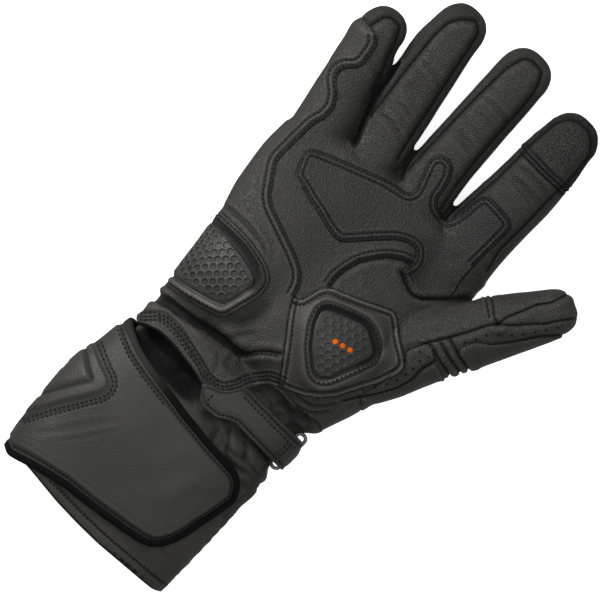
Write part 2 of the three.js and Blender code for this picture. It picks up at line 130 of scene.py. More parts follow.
def runAlong(line):
    return np.concatenate([[0], np.cumsum(np.sqrt((np.diff(line, axis=0) ** 2).sum(1)))])


def evenLine(line, step):
    run = runAlong(line)
    count = max(int(round(run[-1] / step)), 1)
    wanted = np.linspace(0, run[-1], count + 1)
    return np.stack([np.interp(wanted, run, line[:, k]) for k in range(line.shape[1])], 1)


# the line moved to its left by a distance
def besideLine(line, distance):
    ahead = np.gradient(line, axis=0)
    ahead /= np.maximum(np.hypot(*ahead.T)[:, None], 1e-9)
    return line + distance * np.stack([-ahead[:, 1], ahead[:, 0]], 1)


# how far each spot is from the line, how far along it, and on which side (left is positive)
def lineDistance(spots, line, reach=9.0):
    best = np.full(len(spots), reach)
    along = np.zeros(len(spots))
    side = np.ones(len(spots))
    start = 0.0
    inReach = np.flatnonzero(((spots > line.min(0) - reach) & (spots < line.max(0) + reach)).all(1))
    nearby = spots[inReach]
    for a, b in zip(line[:-1], line[1:]):
        span = b - a
        length = math.hypot(*span)
        if length < 1e-9:
            continue
        low, high = np.minimum(a, b) - reach, np.maximum(a, b) + reach
        pick = np.flatnonzero(((nearby > low) & (nearby < high)).all(1))
        rel = nearby[pick] - a
        t = np.clip(rel @ span / length**2, 0, 1)
        away = rel - t[:, None] * span
        distance = np.hypot(away[:, 0], away[:, 1])
        index = inReach[pick]
        closer = distance < best[index]
        index = index[closer]
        best[index] = distance[closer]
        along[index] = start + t[closer] * length
        side[index] = np.sign(span[0] * rel[closer, 1] - span[1] * rel[closer, 0])
        start += length
    return best, along, side


def insideOutline(spots, outline):
    result = np.zeros(len(spots), bool)
    x, y = spots[:, 0], spots[:, 1]
    for (x1, y1), (x2, y2) in zip(outline, np.roll(outline, -1, 0)):
        if y1 == y2:
            continue
        crosses = (y1 > y) != (y2 > y)
        result ^= crosses & (x < (x2 - x1) * (y - y1) / (y2 - y1) + x1)
    return result


# distance from the outline, positive inside
def depthInside(spots, outline, reach=9.0):
    line = np.vstack([outline, outline[:1]])
    distance, _, _ = lineDistance(spots, line, reach)
    return np.where(insideOutline(spots, outline), distance, -distance)


# smooth noise from -1 to 1, with lumps of about the size given
def noise(points, size, seed=0):
    p = np.asarray(points, float) / size
    cell = np.floor(p).astype(np.int64)
    f = p - cell
    f = f * f * (3 - 2 * f)
    total = np.zeros(len(p))
    for dx in (0, 1):
        for dy in (0, 1):
            for dz in (0, 1):
                h = (cell[:, 0] + dx) * 374761393 + (cell[:, 1] + dy) * 668265263
                h = (h + (cell[:, 2] + dz) * 2246822519 + seed * 3266489917) & 0xFFFFFFFF
                h = ((h ^ (h >> 13)) * 1274126177) & 0xFFFFFFFF
                h = (h ^ (h >> 16)) & 0xFFFF
                weight = (
                    (f[:, 0] if dx else 1 - f[:, 0])
                    * (f[:, 1] if dy else 1 - f[:, 1])
                    * (f[:, 2] if dz else 1 - f[:, 2])
                )
                total += weight * (h / 32767.5 - 1)
    return total


def selectOnly(made):
    for each in bpy.context.selected_objects:
        each.select_set(False)
    made.select_set(True)
    bpy.context.view_layer.objects.active = made


# runs edit-mode steps on a whole mesh, one after another
def editAll(made, *steps):
    selectOnly(made)
    bpy.ops.object.mode_set(mode="EDIT")
    for step in steps:
        bpy.ops.mesh.select_all(action="SELECT")
        step()
    bpy.ops.object.mode_set(mode="OBJECT")


def cutBelow(y):
    return lambda: bpy.ops.mesh.bisect(
        plane_co=tuple(toRow([0, y, 0])), plane_no=(0, 1, 0), clear_inner=True, clear_outer=False)


# a new object from points in drawing millimetres
def makeMesh(name, points, faces, drawing=True):
    mesh = bpy.data.meshes.new(name)
    points = toRow(points) if drawing else np.asarray(points, float)
    mesh.from_pydata(points.tolist(), [], [list(map(int, f)) for f in faces])
    mesh.update()
    made = bpy.data.objects.new(name, mesh)
    bpy.context.collection.objects.link(made)
    mesh.shade_smooth()
    return made


def applyModifiers(made):
    selectOnly(made)
    for modifier in list(made.modifiers):
        bpy.ops.object.modifier_apply(modifier=modifier.name)


def readPoints(mesh):
    flat = np.empty(len(mesh.vertices) * 3, np.float32)
    mesh.vertices.foreach_get("co", flat)
    return flat.reshape(-1, 3).astype(float)


def readNormals(mesh):
    flat = np.empty(len(mesh.vertices) * 3, np.float32)
    mesh.vertex_normals.foreach_get("vector", flat)
    return flat.reshape(-1, 3).astype(float)


def writePoints(mesh, points):
    mesh.vertices.foreach_set("co", np.asarray(points, np.float32).ravel())
    mesh.update()


def addValues(mesh, name, values):
    attribute = mesh.attributes.new(name, "FLOAT", "POINT")
    attribute.data.foreach_set("value", np.asarray(values, np.float32))


# averages values over neighbouring vertices
def blurOver(mesh, values, rounds):
    edges = np.empty(len(mesh.edges) * 2, np.int32)
    mesh.edges.foreach_get("vertices", edges)
    a, b = edges[0::2], edges[1::2]
    count = np.bincount(edges, minlength=len(mesh.vertices)).astype(float)
    count = np.maximum(count, 1)
    values = np.asarray(values, float)
    for _ in range(rounds):
        if values.ndim == 1:
            total = np.bincount(a, values[b], len(count)) + np.bincount(b, values[a], len(count))
            values = 0.5 * values + 0.5 * total / count
        else:
            total = np.stack(
                [np.bincount(a, v[b], len(count)) + np.bincount(b, v[a], len(count)) for v in values.T], 1
            )
            values = 0.5 * values + 0.5 * total / count[:, None]
    return values


# the hand's form
palm = {
    "y": [-62, -57, -47, -42, -36, -28, -14, 2, 18, 34, 50, 67],
    "left": [-52.2, -51.4, -51.6, -52.3, -52.8, -53.9, -55.8, -58.8, -64, -66.7, -68.3, -68.4],
    "right": [47.4, 47.4, 47.4, 52.5, 55, 57.6, 61.4, 61, 59.4, 58.5, 59.5, 60.6],
    "top": [45, 44, 41, 39.5, 43, 46, 48, 47, 44.5, 42, 38, 33],
    "floor": [2.1, 2.1, 2.1, 0.6, 0, 0, 0, 0, 0, 0, 0, 0],
    "cap": 12,
    "arch": 6,
    "archMiddle": 12,
    "boxy": 2.7,
}
cuff = {
    "y": [-159, -142, -120, -100, -80, -75, -70, -65, -62, -57, -47, -42],
    "left": [-51.6, -54.6, -56, -57, -54.4, -54, -53.3, -52.4, -52.2, -51.4, -51.6, -52.3],
    "right": [55.2, 56.2, 56, 55.1, 54.2, 53.9, 50.4, 48.6, 47.4, 47.4, 47.4, 52.5],
    "top": [46, 48, 50, 51, 49.5, 48.3, 47, 45.6, 45, 44, 41, 39.5],
    "floor": [1, 1, 1, 1, 1, 1, 1, 2.1, 2.1, 2.1, 2.1, 0.6],
    "boxy": 2.7,
}
mounds = [
    (30, -6, 24, 26, 20, 4.5),
    (-40, -14, 24, 20, 0, 3),
    (-2, 22, 16, 30, 0, -3),
    (-26, -44, 34, 4.5, 8, -6),
    (-14, -50, 20, 6, -4, 3),
    (20, -45, 26, 5, 3, -3.5),
    (-8, -24, 6, 18, 12, -2.6),
    (33, 55, 9, 14, 10, -3.2),
]  # x, y, half width, half length, turn, rise
fingers = {
    "little_finger": {
        "length": 76.5, "width": 30, "depth": 28, "tip": 13,
        "along": [-0.16, 0, 0.26, 0.52, 0.72, 0.83], "x": [-50, -52, -55.8, -61, -64.6, -66.2],
        "w": [0.9, 0.98, 1, 0.93, 0.89, 0.8], "d": [0.98, 1, 1, 0.95, 0.9, 0.84],
        "z": [15.2, 15.4, 15.6, 16.8, 18.8, 20],
    },
    "ring_finger": {
        "length": 105, "width": 31, "depth": 29, "tip": 15,
        "along": [-0.1, 0, 0.19, 0.38, 0.57, 0.72, 0.857],
        "x": [-18.5, -20.5, -24.7, -29.6, -34.5, -37.7, -39.2],
        "w": [0.82, 0.88, 0.9, 0.95, 1.0, 0.98, 0.87], "d": [1, 1, 1, 0.96, 0.93, 0.88, 0.8],
        "z": [15.6, 15.8, 16, 17, 18.6, 20.6, 22.4],
    },
    "middle_finger": {
        "length": 111.5, "width": 30, "depth": 29, "tip": 14.5,
        "along": [0, 0.18, 0.36, 0.6, 0.76, 0.87], "x": [7, 5.6, 3.4, 1.4, 0.4, -0.4],
        "w": [0.97, 1.03, 0.99, 0.96, 0.95, 0.93], "d": [1, 1, 0.96, 0.92, 0.86, 0.8],
        "z": [15.8, 16, 17, 19, 21.2, 22.8],
    },
    "index_finger": {
        "length": 105, "width": 35, "depth": 30, "tip": 15,
        "along": [0, 0.19, 0.38, 0.57, 0.76, 0.857], "x": [41, 40.2, 40.3, 40.6, 39.6, 39.2],
        "w": [1.15, 1.07, 1, 0.95, 0.87, 0.79], "d": [1, 1, 0.96, 0.92, 0.86, 0.8],
        "z": [16, 16.2, 17.2, 18.8, 21, 22.4],
    },
}
thumb = {
    "width": 36, "depth": 34, "tip": 13,
    "x": [44.2, 51.6, 61, 72.5, 82.8, 93.1], "y": [-5.6, 10.5, 29, 48.1, 66.5, 83.4],
    "turn": [-20, -26, -31, -33, -33, -33], "w": [1.0, 1.08, 1.02, 0.92, 0.83, 0.69],
    "d": [1.06, 1.06, 1, 0.92, 0.85, 0.74], "z": [23, 24.5, 26, 28, 29.5, 31],
}
fingerRoot = 60
fingerBoxy = 2.3
wristAt = -62  # where the hand's leather ends
wristEdge = {  # the hem's curve on the palm side
    "x": [-54, -50, -45, -40, -30, -20, -10, -5, 4, 20, 50],
    "y": [-66.5, -65.8, -62.5, -60.4, -59.6, -60.5, -62, -63.3, -62.5, -62, -62],
}
capTurns = [math.radians(turn) for turn in np.linspace(6, 84, 12)]  # rings of a round end


def relief(x, y):
    total = np.zeros_like(x)
    for mx, my, wide, long, turn, rise in mounds:
        c, s = math.cos(math.radians(turn)), math.sin(math.radians(turn))
        u = ((x - mx) * c + (y - my) * s) / wide
        v = (-(x - mx) * s + (y - my) * c) / long
        total += rise * np.exp(-u * u - v * v)
    return total


def roundBox(angle, boxy):
    c, s = np.cos(angle), np.sin(angle)
    return np.sign(c) * np.abs(c) ** (2 / boxy), np.sign(s) * np.abs(s) ** (2 / boxy)


# a point of the palm or the cuff, at a row, a turn round the section and a height over the leather
def armPoint(table, y, angle, offset, shrink=1.0, ahead=0.0):
    left = smoothInterp(y, table["y"], table["left"]) - offset
    right = smoothInterp(y, table["y"], table["right"]) + offset
    top = smoothInterp(y, table["y"], table["top"]) + offset
    floor = smoothInterp(y, table["y"], table["floor"]) - offset
    bottom = -3 - offset
    side, height = roundBox(angle, table["boxy"])
    x = (left + right) / 2 + side * (right - left) / 2 * shrink
    z = np.maximum((top + bottom) / 2 + height * (top - bottom) / 2 * shrink, floor)
    yy = y + ahead + 0 * x
    share = smoothstep(15.1, 34.6, z)
    bow = smoothstep(25, 75, yy)
    aside = (x - palm["archMiddle"]) / 64
    return np.stack([x, yy - palm["arch"] * bow * aside * aside, z + share * relief(x, yy)], -1)


def wristRow(x):
    return smoothInterp(np.clip(x, -54, 50), wristEdge["x"], wristEdge["y"])


def gridFaces(rows, columns, wrap=False):
    r = np.arange(rows - 1)[:, None]
    c = np.arange(columns if wrap else columns - 1)[None, :]
    a = r * columns + c
    b = r * columns + (c + 1) % columns
    return np.stack([a, b, b + columns, a + columns], -1).reshape(-1, 4)


def ringFaces(rings, sides, closeStart=False, closeEnd=False):
    faces = gridFaces(rings, sides, wrap=True).tolist()
    if closeStart:
        faces.append(list(range(sides))[::-1])
    if closeEnd:
        faces.append([(rings - 1) * sides + k for k in range(sides)])
    return faces


def palmForm(offset, sides=120):
    angle = -np.arange(sides) / sides * 2 * math.pi
    rings = [armPoint(palm, wristAt, angle, offset, 1.0, -7.0)]
    rings += [armPoint(palm, y, angle, offset) for y in np.arange(wristAt, 67.1, 1.5)]
    for turn in capTurns:
        rings.append(armPoint(palm, 67.0, angle, offset, math.cos(turn) ** 0.8,
                              (palm["cap"] + offset) * math.sin(turn)))
    return np.concatenate(rings), ringFaces(len(rings), sides, True, True)


def fingerForm(finger, offset, sides=48):
    angle = -np.arange(sides) / sides * 2 * math.pi
    side, height = roundBox(angle, fingerBoxy)
    steps = [(a, 1.0, 0.0) for a in np.linspace(finger["along"][0], finger["along"][-1], 60)]
    for turn in capTurns:
        steps.append((finger["along"][-1], math.cos(turn) ** 0.8, (finger["tip"] + offset) * math.sin(turn)))
    rings = []
    for along, shrink, ahead in steps:
        x, w, d, z = (smoothInterp(along, finger["along"], finger[k]) for k in "xwdz")
        halfWidth = (w * finger["width"] / 2 + offset) * shrink
        halfDepth = (d * finger["depth"] / 2 + offset) * shrink
        rings.append(np.stack([
            x + side * halfWidth,
            np.full(sides, fingerRoot + along * finger["length"] + ahead),
            np.maximum(z + height * halfDepth, -offset),
        ], 1))
    return np.concatenate(rings), ringFaces(len(rings), sides, True, True)


def thumbForm(offset, sides=48):
    angle = -np.arange(sides) / sides * 2 * math.pi
    side, height = roundBox(angle, fingerBoxy)
    index = np.arange(6)
    steps = [(a, 1.0, 0.0) for a in np.linspace(0, 5, 60)]
    for turn in capTurns:
        steps.append((5, math.cos(turn) ** 0.8, (thumb["tip"] + offset) * math.sin(turn)))
    rings = []
    for at, shrink, ahead in steps:
        x, y, turn, w, d, z = (smoothInterp(at, index, thumb[k]) for k in ("x", "y", "turn", "w", "d", "z"))
        c, s = math.cos(math.radians(turn)), math.sin(math.radians(turn))
        across = side * (w * thumb["width"] / 2 + offset) * shrink
        rings.append(np.stack([
            x - s * ahead + across * c,
            y + c * ahead + across * s,
            np.maximum(z + height * (d * thumb["depth"] / 2 + offset) * shrink, -offset),
        ], 1))
    return np.concatenate(rings), ringFaces(len(rings), sides, True, True)


# the whole hand as one skin, open at the wrist
def handForm(name, offset, voxel, smoothing, fine):
    points, faces, start = [], [], 0
    for p, f in [palmForm(offset), thumbForm(offset)] + [fingerForm(v, offset) for v in fingers.values()]:
        points.append(p)
        faces += [[k + start for k in face] for face in f]
        start += len(p)
    made = makeMesh(name, np.concatenate(points), faces)
    remesh = made.modifiers.new("join", "REMESH")
    remesh.mode = "VOXEL"
    remesh.voxel_size = voxel / 1000
    soften = made.modifiers.new("soften", "SMOOTH")
    soften.factor = 0.5
    soften.iterations = smoothing
    applyModifiers(made)
    editAll(made, cutBelow(wristAt))
    if fine:
        subdivide = made.modifiers.new("fine", "SUBSURF")
        subdivide.levels = subdivide.render_levels = 1
        applyModifiers(made)
    return made


voxel = 1.25
hand = handForm("handSkin", 0, voxel, 6, True)
print("hand skin", len(hand.data.vertices))

# panels, seams and folds of the palm side
panels = {
    "sideReinforcement": {
        "rise": 1.1, "outline": [
            (-95, 122), (-95, -75), (25, -75), (24, -45), (23, -37), (20.5, -34), (15.5, -27), (10.5, -20.5),
            (4.5, -13), (-0.5, -6.5), (-3.5, -1), (-5, 4), (-8, 8.5), (-12, 11.5), (-18.5, 14.5),
            (-30, 18.5), (-43, 23), (-47.5, 26.5), (-52, 33), (-56, 38.5), (-57.5, 42), (-57.5, 67),
            (-55.5, 73), (-56, 80), (-60, 86), (-65, 90), (-67, 93), (-66, 98), (-62, 102), (-61, 106),
            (-62, 112), (-63, 117), (-66, 120), (-72, 121.5)],
    },
    "palmPatch": {
        "rise": 1.0, "outline": [
            (-39.5, 41), (-32, 39), (-24, 37.5), (-17, 35.5), (-11, 34.5), (-6.5, 35), (-3, 38.5), (3.5, 46),
            (8.5, 51.5), (12.5, 55.5), (16.5, 58), (20.5, 59.5), (23.5, 59), (26.5, 55.5), (27, 50.5),
            (25.5, 47), (26, 45.5), (32, 43), (37.5, 41.5), (42, 43), (49, 50), (51.5, 52), (51.5, 56),
            (49.5, 65), (49, 73), (49, 93.5), (48.5, 100), (45.5, 102), (39, 102.5), (32.5, 103),
            (29.5, 102), (27.5, 97.5), (27, 90), (26, 83.5), (24, 79.5), (20, 79.5), (15, 81), (12.5, 84),
            (11.5, 90.5), (9.5, 96.5), (6.5, 101), (3, 102), (-1, 100.5), (-3, 98), (-3, 94), (-1, 88.5),
            (1, 83), (2.5, 78.5), (1, 75.5), (-3, 74.5), (-12, 72.5), (-21, 69), (-30, 65.5), (-40, 61.5),
            (-47.5, 58), (-50, 56), (-50, 52), (-47.5, 46.5), (-45.5, 42)],
    },
    "heelPad": {
        "rise": 1.6, "outline": [
            (-0.5, -6.5), (4.5, -13), (10.5, -20.5), (15.5, -27), (20.5, -34), (23, -37), (28, -35),
            (34.5, -32), (41, -27), (46.5, -20.5), (52, -9.5), (57, -0.5), (60, 8), (60.5, 12.5), (57.5, 16),
            (51.5, 19.5), (45, 24), (38.5, 28.5), (36, 28.5), (29, 25), (21, 21), (13, 17.5), (8, 15.5),
            (5, 13), (3, 9.5), (2, 5), (1, 1), (-0.5, -1), (-3.5, -1)],
    },
    "sliderSurround": {
        "rise": 1.2, "soft": 3.0, "outline": [
            (-95, -40), (-53, -40), (-42, -38), (-32, -36), (-24, -33), (-19, -28), (-17.5, -20), (-17, -12),
            (-19, -5), (-26, -1.5), (-36, 1), (-48, 2.5), (-59, 2.5), (-95, 2.5)],
    },
    "indexTip": {
        "rise": 0.5, "outline": [
            (20, 133), (28, 132), (40, 131.5), (53, 132.5), (62, 133), (62, 180), (20, 180)],
    },
    "thumbKnuckle": {
        "rise": 1.0, "outline": [
            (73.6, 37), (74.8, 43.2), (77.1, 47.5), (83.1, 51.5), (89.7, 59.7), (97.5, 71.7), (104.9, 80),
            (120, 86), (120, 30), (90, 34)][::-1],
    },
    "thumbSide": {
        "rise": 0.8, "outline": [
            (55, -13), (56.5, -4), (58.5, 6), (57.5, 14), (54, 20), (58, 27), (63, 31), (68, 26), (90, 20),
            (90, -16), (62, -18)][::-1],
    },
}
padRim = {
    "outline": [
        (30, -21.5), (34.5, -21.5), (38, -18.2), (40.7, -11.5), (44, -3), (46.5, 4), (46, 8.5), (41.5, 11.5),
        (35.5, 14.8), (30.2, 15.2), (23, 12.7), (15, 9.2), (11, 6.3), (10, 2.8), (12.5, -4), (19.2, -13),
        (25.7, -18.5)],
    "insert": [
        (30, -20.4), (33.8, -21.2), (37.6, -18.4), (39.8, -13.2), (42.8, -4.2), (46, 4), (45.6, 8),
        (41.2, 10.8), (34.1, 14), (29.3, 13.9), (21.1, 10.6), (13.4, 7), (11.6, 3.8), (15.8, -5.4),
        (19.8, -11.5), (26, -17.7)],
    "sink": 2.4, "swell": 1.5,
}
sliderPad = {
    "outline": [
        (-95, -38), (-53, -37), (-42, -34.8), (-32.7, -32.1), (-24.7, -29.5), (-22.4, -20), (-20.6, -12.4),
        (-20.9, -8), (-22.4, -5.9), (-26.5, -4.1), (-33, -2.4), (-38.6, -1.5), (-46, -1.2), (-52.7, -1.4),
        (-58.5, -1.5), (-95, -1.5)],
    "plate": [
        (-53, -36.6), (-42, -34.4), (-32.7, -31.8), (-25, -29), (-22.8, -20), (-21.4, -12.6), (-21.9, -9),
        (-24, -7.4), (-28, -5.8), (-34, -4.4), (-39, -3.7), (-46, -3.3), (-52.7, -3.5), (-58.5, -3.6)],
    "cells": [
        (-53, -34.6), (-42, -32.4), (-32.7, -29.7), (-27, -27.2), (-25, -20), (-23.7, -13.4), (-23.4, -10),
        (-25, -8.5), (-28.5, -6.8), (-34, -5.3), (-39, -4.5), (-46, -4.1), (-52.7, -4.2), (-58.5, -4.3)],
    "sink": 1.8,
}
seams = {  # line, groove width, groove depth, swell beside it, how much it gathers
    "centre": ([(6, 15.5), (5, 21), (6, 28), (8, 35), (12, 41), (16, 46), (21.5, 50), (26.5, 52)], 0.9, 1.3,
               0.5, 0.5),
    "thumbCrotch": ([(26, 45.5), (32, 43), (37.5, 41.5), (42, 43), (49, 50), (54, 55), (60, 61), (62, 68)],
                    0.8, 1.2, 0.6, 0.6),
    "thumbMain": ([(58, 15), (55, 20), (60, 30), (65, 38), (70, 47), (75, 57), (78, 61)], 0.7, 1.0, 0.4,
                  0.35),
    "thumbTipA": ([(78, 61), (79, 67), (82, 74), (85, 82), (89, 87), (92, 96)], 0.6, 0.9, 0.4, 0.3),
    "thumbTipB": ([(78, 61), (84, 66), (90, 73), (95, 78), (98, 83), (103, 90)], 0.6, 0.8, 0.4, 0.3),
    "thumbCross": ([(64, 70), (70, 66), (73, 63), (78, 61)], 0.5, 0.7, 0.3, 0.3),
    "wristSeam": ([(-4, -41), (-2, -39.6), (3.2, -32.9), (7, -29), (12, -25.5)], 0.9, 1.2, 0.7, 0.6),
    "ringSide": ([(-40, 90), (-42, 105), (-44, 120), (-46, 140), (-45.5, 150), (-42, 156), (-36, 161),
                  (-31, 157), (-28, 143), (-26, 133), (-22, 115), (-18, 95), (-15, 84)], 0.9, 0.9, 0.3, 0.8),
    "middleSide": ([(-8, 84), (-9, 110), (-9.5, 130), (-9, 155), (-6, 165), (-2, 166.5), (5, 166), (8, 160),
                    (10, 153), (11, 140), (12.5, 115), (15, 95), (18, 82)], 0.9, 0.9, 0.3, 0.8),
    "indexSide": ([(24.5, 84), (26.5, 110), (27, 140), (28, 152), (31, 158), (36, 161), (43, 161), (48, 157),
                   (51, 152), (52, 140), (53, 110), (53, 88), (56, 76)], 0.9, 0.9, 0.3, 0.8),
    "littleSide": ([(-72, 122), (-70, 130), (-66, 132.5), (-61, 132), (-57, 124), (-53, 113), (-47, 98),
                    (-42, 86), (-37, 76)], 0.9, 0.9, 0.3, 0.8),
    "indexTipLine": ([(26, 130), (40, 129.5), (55, 130)], 0.5, 0.5, 0.2, 0.2),
    "ribA": ([(66.6, 39.1), (75, 36.4), (84.7, 35), (96, 34.4)], 0.65, 1.3, 0.6, 0.0),
    "ribB": ([(64.5, 34.6), (74, 32), (82.3, 30.9), (94, 29.6)], 0.65, 1.3, 0.6, 0.0),
    "ribC": ([(61.7, 30), (71, 27.7), (80.7, 26), (92, 23.6)], 0.65, 1.3, 0.6, 0.0),
    "thumbPanel": ([(68.6, 26.3), (67, 18), (67.3, 11), (64.8, 2.4), (60.1, -5.9), (55.4, -13),
                    (50.9, -20.3)],
                   0.8, 1.3, 0.5, 0.2),
}
slits = [  # line, half width
    ([(-49, 118), (-44.5, 98), (-38.3, 80.6), (-35.6, 74.4)], 1.3),
    ([(-10.8, 85.5), (-9.8, 82.5), (-7.2, 78.8)], 1.1),
    ([(21.6, 88), (21.8, 80.5)], 0.9),
]
fingerRims = {  # seams that bound a finger's front, and points that close it
    "littleSide": [(-37, 66), (-95, 66), (-95, 122)], "ringSide": [], "middleSide": [], "indexSide": [],
}
stitchRows = [  # line, distances to its left, whether it closes
    (panels["sideReinforcement"]["outline"][10:-1], (0.9, 3.6), False),
    (panels["palmPatch"]["outline"][:18], (0.9, 3.2), False),
    (panels["palmPatch"]["outline"][24:] + panels["palmPatch"]["outline"][:1], (0.9, 3.2), False),
    (panels["heelPad"]["outline"], (2.5,), True),
    (padRim["outline"], (-1.5,), True),
    (sliderPad["outline"][1:-1], (-3.0,), False),
    (sliderPad["outline"][9:-1], (-1.3,), False),
    (seams["centre"][0], (1.3, 3.8), False),
    (seams["wristSeam"][0], (-1.3,), False),
    (seams["indexTipLine"][0], (0, 2.2, 4.4), False),
    ([(73.2, 60.2), (67, 64.5), (60.5, 69)], (0,), False),
    ([(-50, -63.6), (-47, -60.3), (-41, -55.8), (-31, -55.6), (-18.5, -58), (-8, -60.3), (-0.5, -60.6),
      (4.5, -58.6), (8.3, -53.6), (11, -46.4), (16.7, -38), (24, -34.9)], (-0.3, 1.5, 3.3), False),
]
folds = [  # line, half width, depth (positive sinks)
    ([(-60, -51), (-50, -49.5), (-45, -47.5), (-35, -46), (-25, -44), (-15, -41), (-5, -40), (0, -39)], 2.2,
     3.8),
    ([(-62, 6.5), (-55, 7.5), (-45, 8), (-34, 7), (-26, 4)], 1.1, 0.9),
    ([(-40, 12), (-30, 9), (-22, 4)], 1.6, 0.5),
    ([(-30, -41), (-20, -36), (-12, -28), (-9, -20), (-9, -10)], 3.2, 0.9),
    ([(-16, -40), (-8, -33), (-3, -26)], 1.4, 0.6),
    ([(-22, -46), (-12, -43), (-4, -42)], 1.6, 0.9),
    ([(-45, -54), (-35, -51.5), (-25, -51)], 1.5, 0.4),
    ([(-12, -46), (-6, -52), (-4, -57)], 1.5, 0.5),
    ([(-40, 93), (-33, 94.5), (-24, 93), (-17, 90)], 1.3, 0.7),
    ([(-38, 103), (-31, 104.5), (-22, 103)], 1.0, 0.5),
    ([(-44, 126), (-37, 127.5), (-30, 126.5), (-24, 123)], 1.4, 0.6),
    ([(-42, 112), (-34, 114), (-27, 112)], 2.6, 0.7),
    ([(-8, 136), (-1, 137), (8, 136.5), (12, 135)], 1.2, 0.7),
    ([(-7, 127), (1, 129), (10, 128)], 1.0, 0.35),
    ([(-8, 113), (1, 114.5), (11, 112)], 1.8, 0.8),
    ([(-6, 120), (3, 121), (10, 119)], 1.0, 0.25),
    ([(27, 123), (36, 125), (47, 124.5), (52, 123)], 1.4, 0.7),
    ([(29, 116), (38, 118), (50, 116)], 1.8, 0.7),
    ([(-66, 108), (-58, 108), (-50, 105)], 1.5, 0.4),
    ([(30, 62), (38, 66), (44, 74)], 2.6, 0.3),
    ([(14, 30), (24, 33), (34, 30)], 3.4, 0.4),
    ([(66, 52), (72, 54)], 1.6, 0.3),
    ([(76, 72), (84, 70), (92, 66)], 1.6, 0.25),
    ([(29, -35.6), (36, -35), (42, -33.4), (47, -28), (51, -21)], 0.9, 1.1),
    ([(34, -39), (42, -37.2), (47, -33), (50, -27)], 1.0, 1.2),
    ([(26, -44), (33, -43), (40, -44)], 1.2, 1.2),
]


underHem = smoothLine([(-0.5, -64), (5.5, -61.5), (9.5, -56), (12.5, -48), (17.5, -40.5), (24.5, -38),
                       (33, -38.6), (43, -37.5), (60, -34)])


def topShare(points, normals):
    wide = 0.35 * smoothstep(58, 64, points[:, 0])
    return smoothstep(15.5, 19.5, points[:, 2]) * smoothstep(-0.15, 0.4, normals[:, 2] + wide)


# small puckers where thread draws the leather in
def gather(along, distance, side, amount):
    short = np.sin(along / 3.1 * 2 * math.pi + side * 0.7) * 0.5
    wave = short + np.sin(along / 7.3 * 2 * math.pi + 1.3 * side) * 0.5
    return amount * 0.22 * wave * hump(distance, 3.0) * smoothstep(0.3, 1.5, distance)


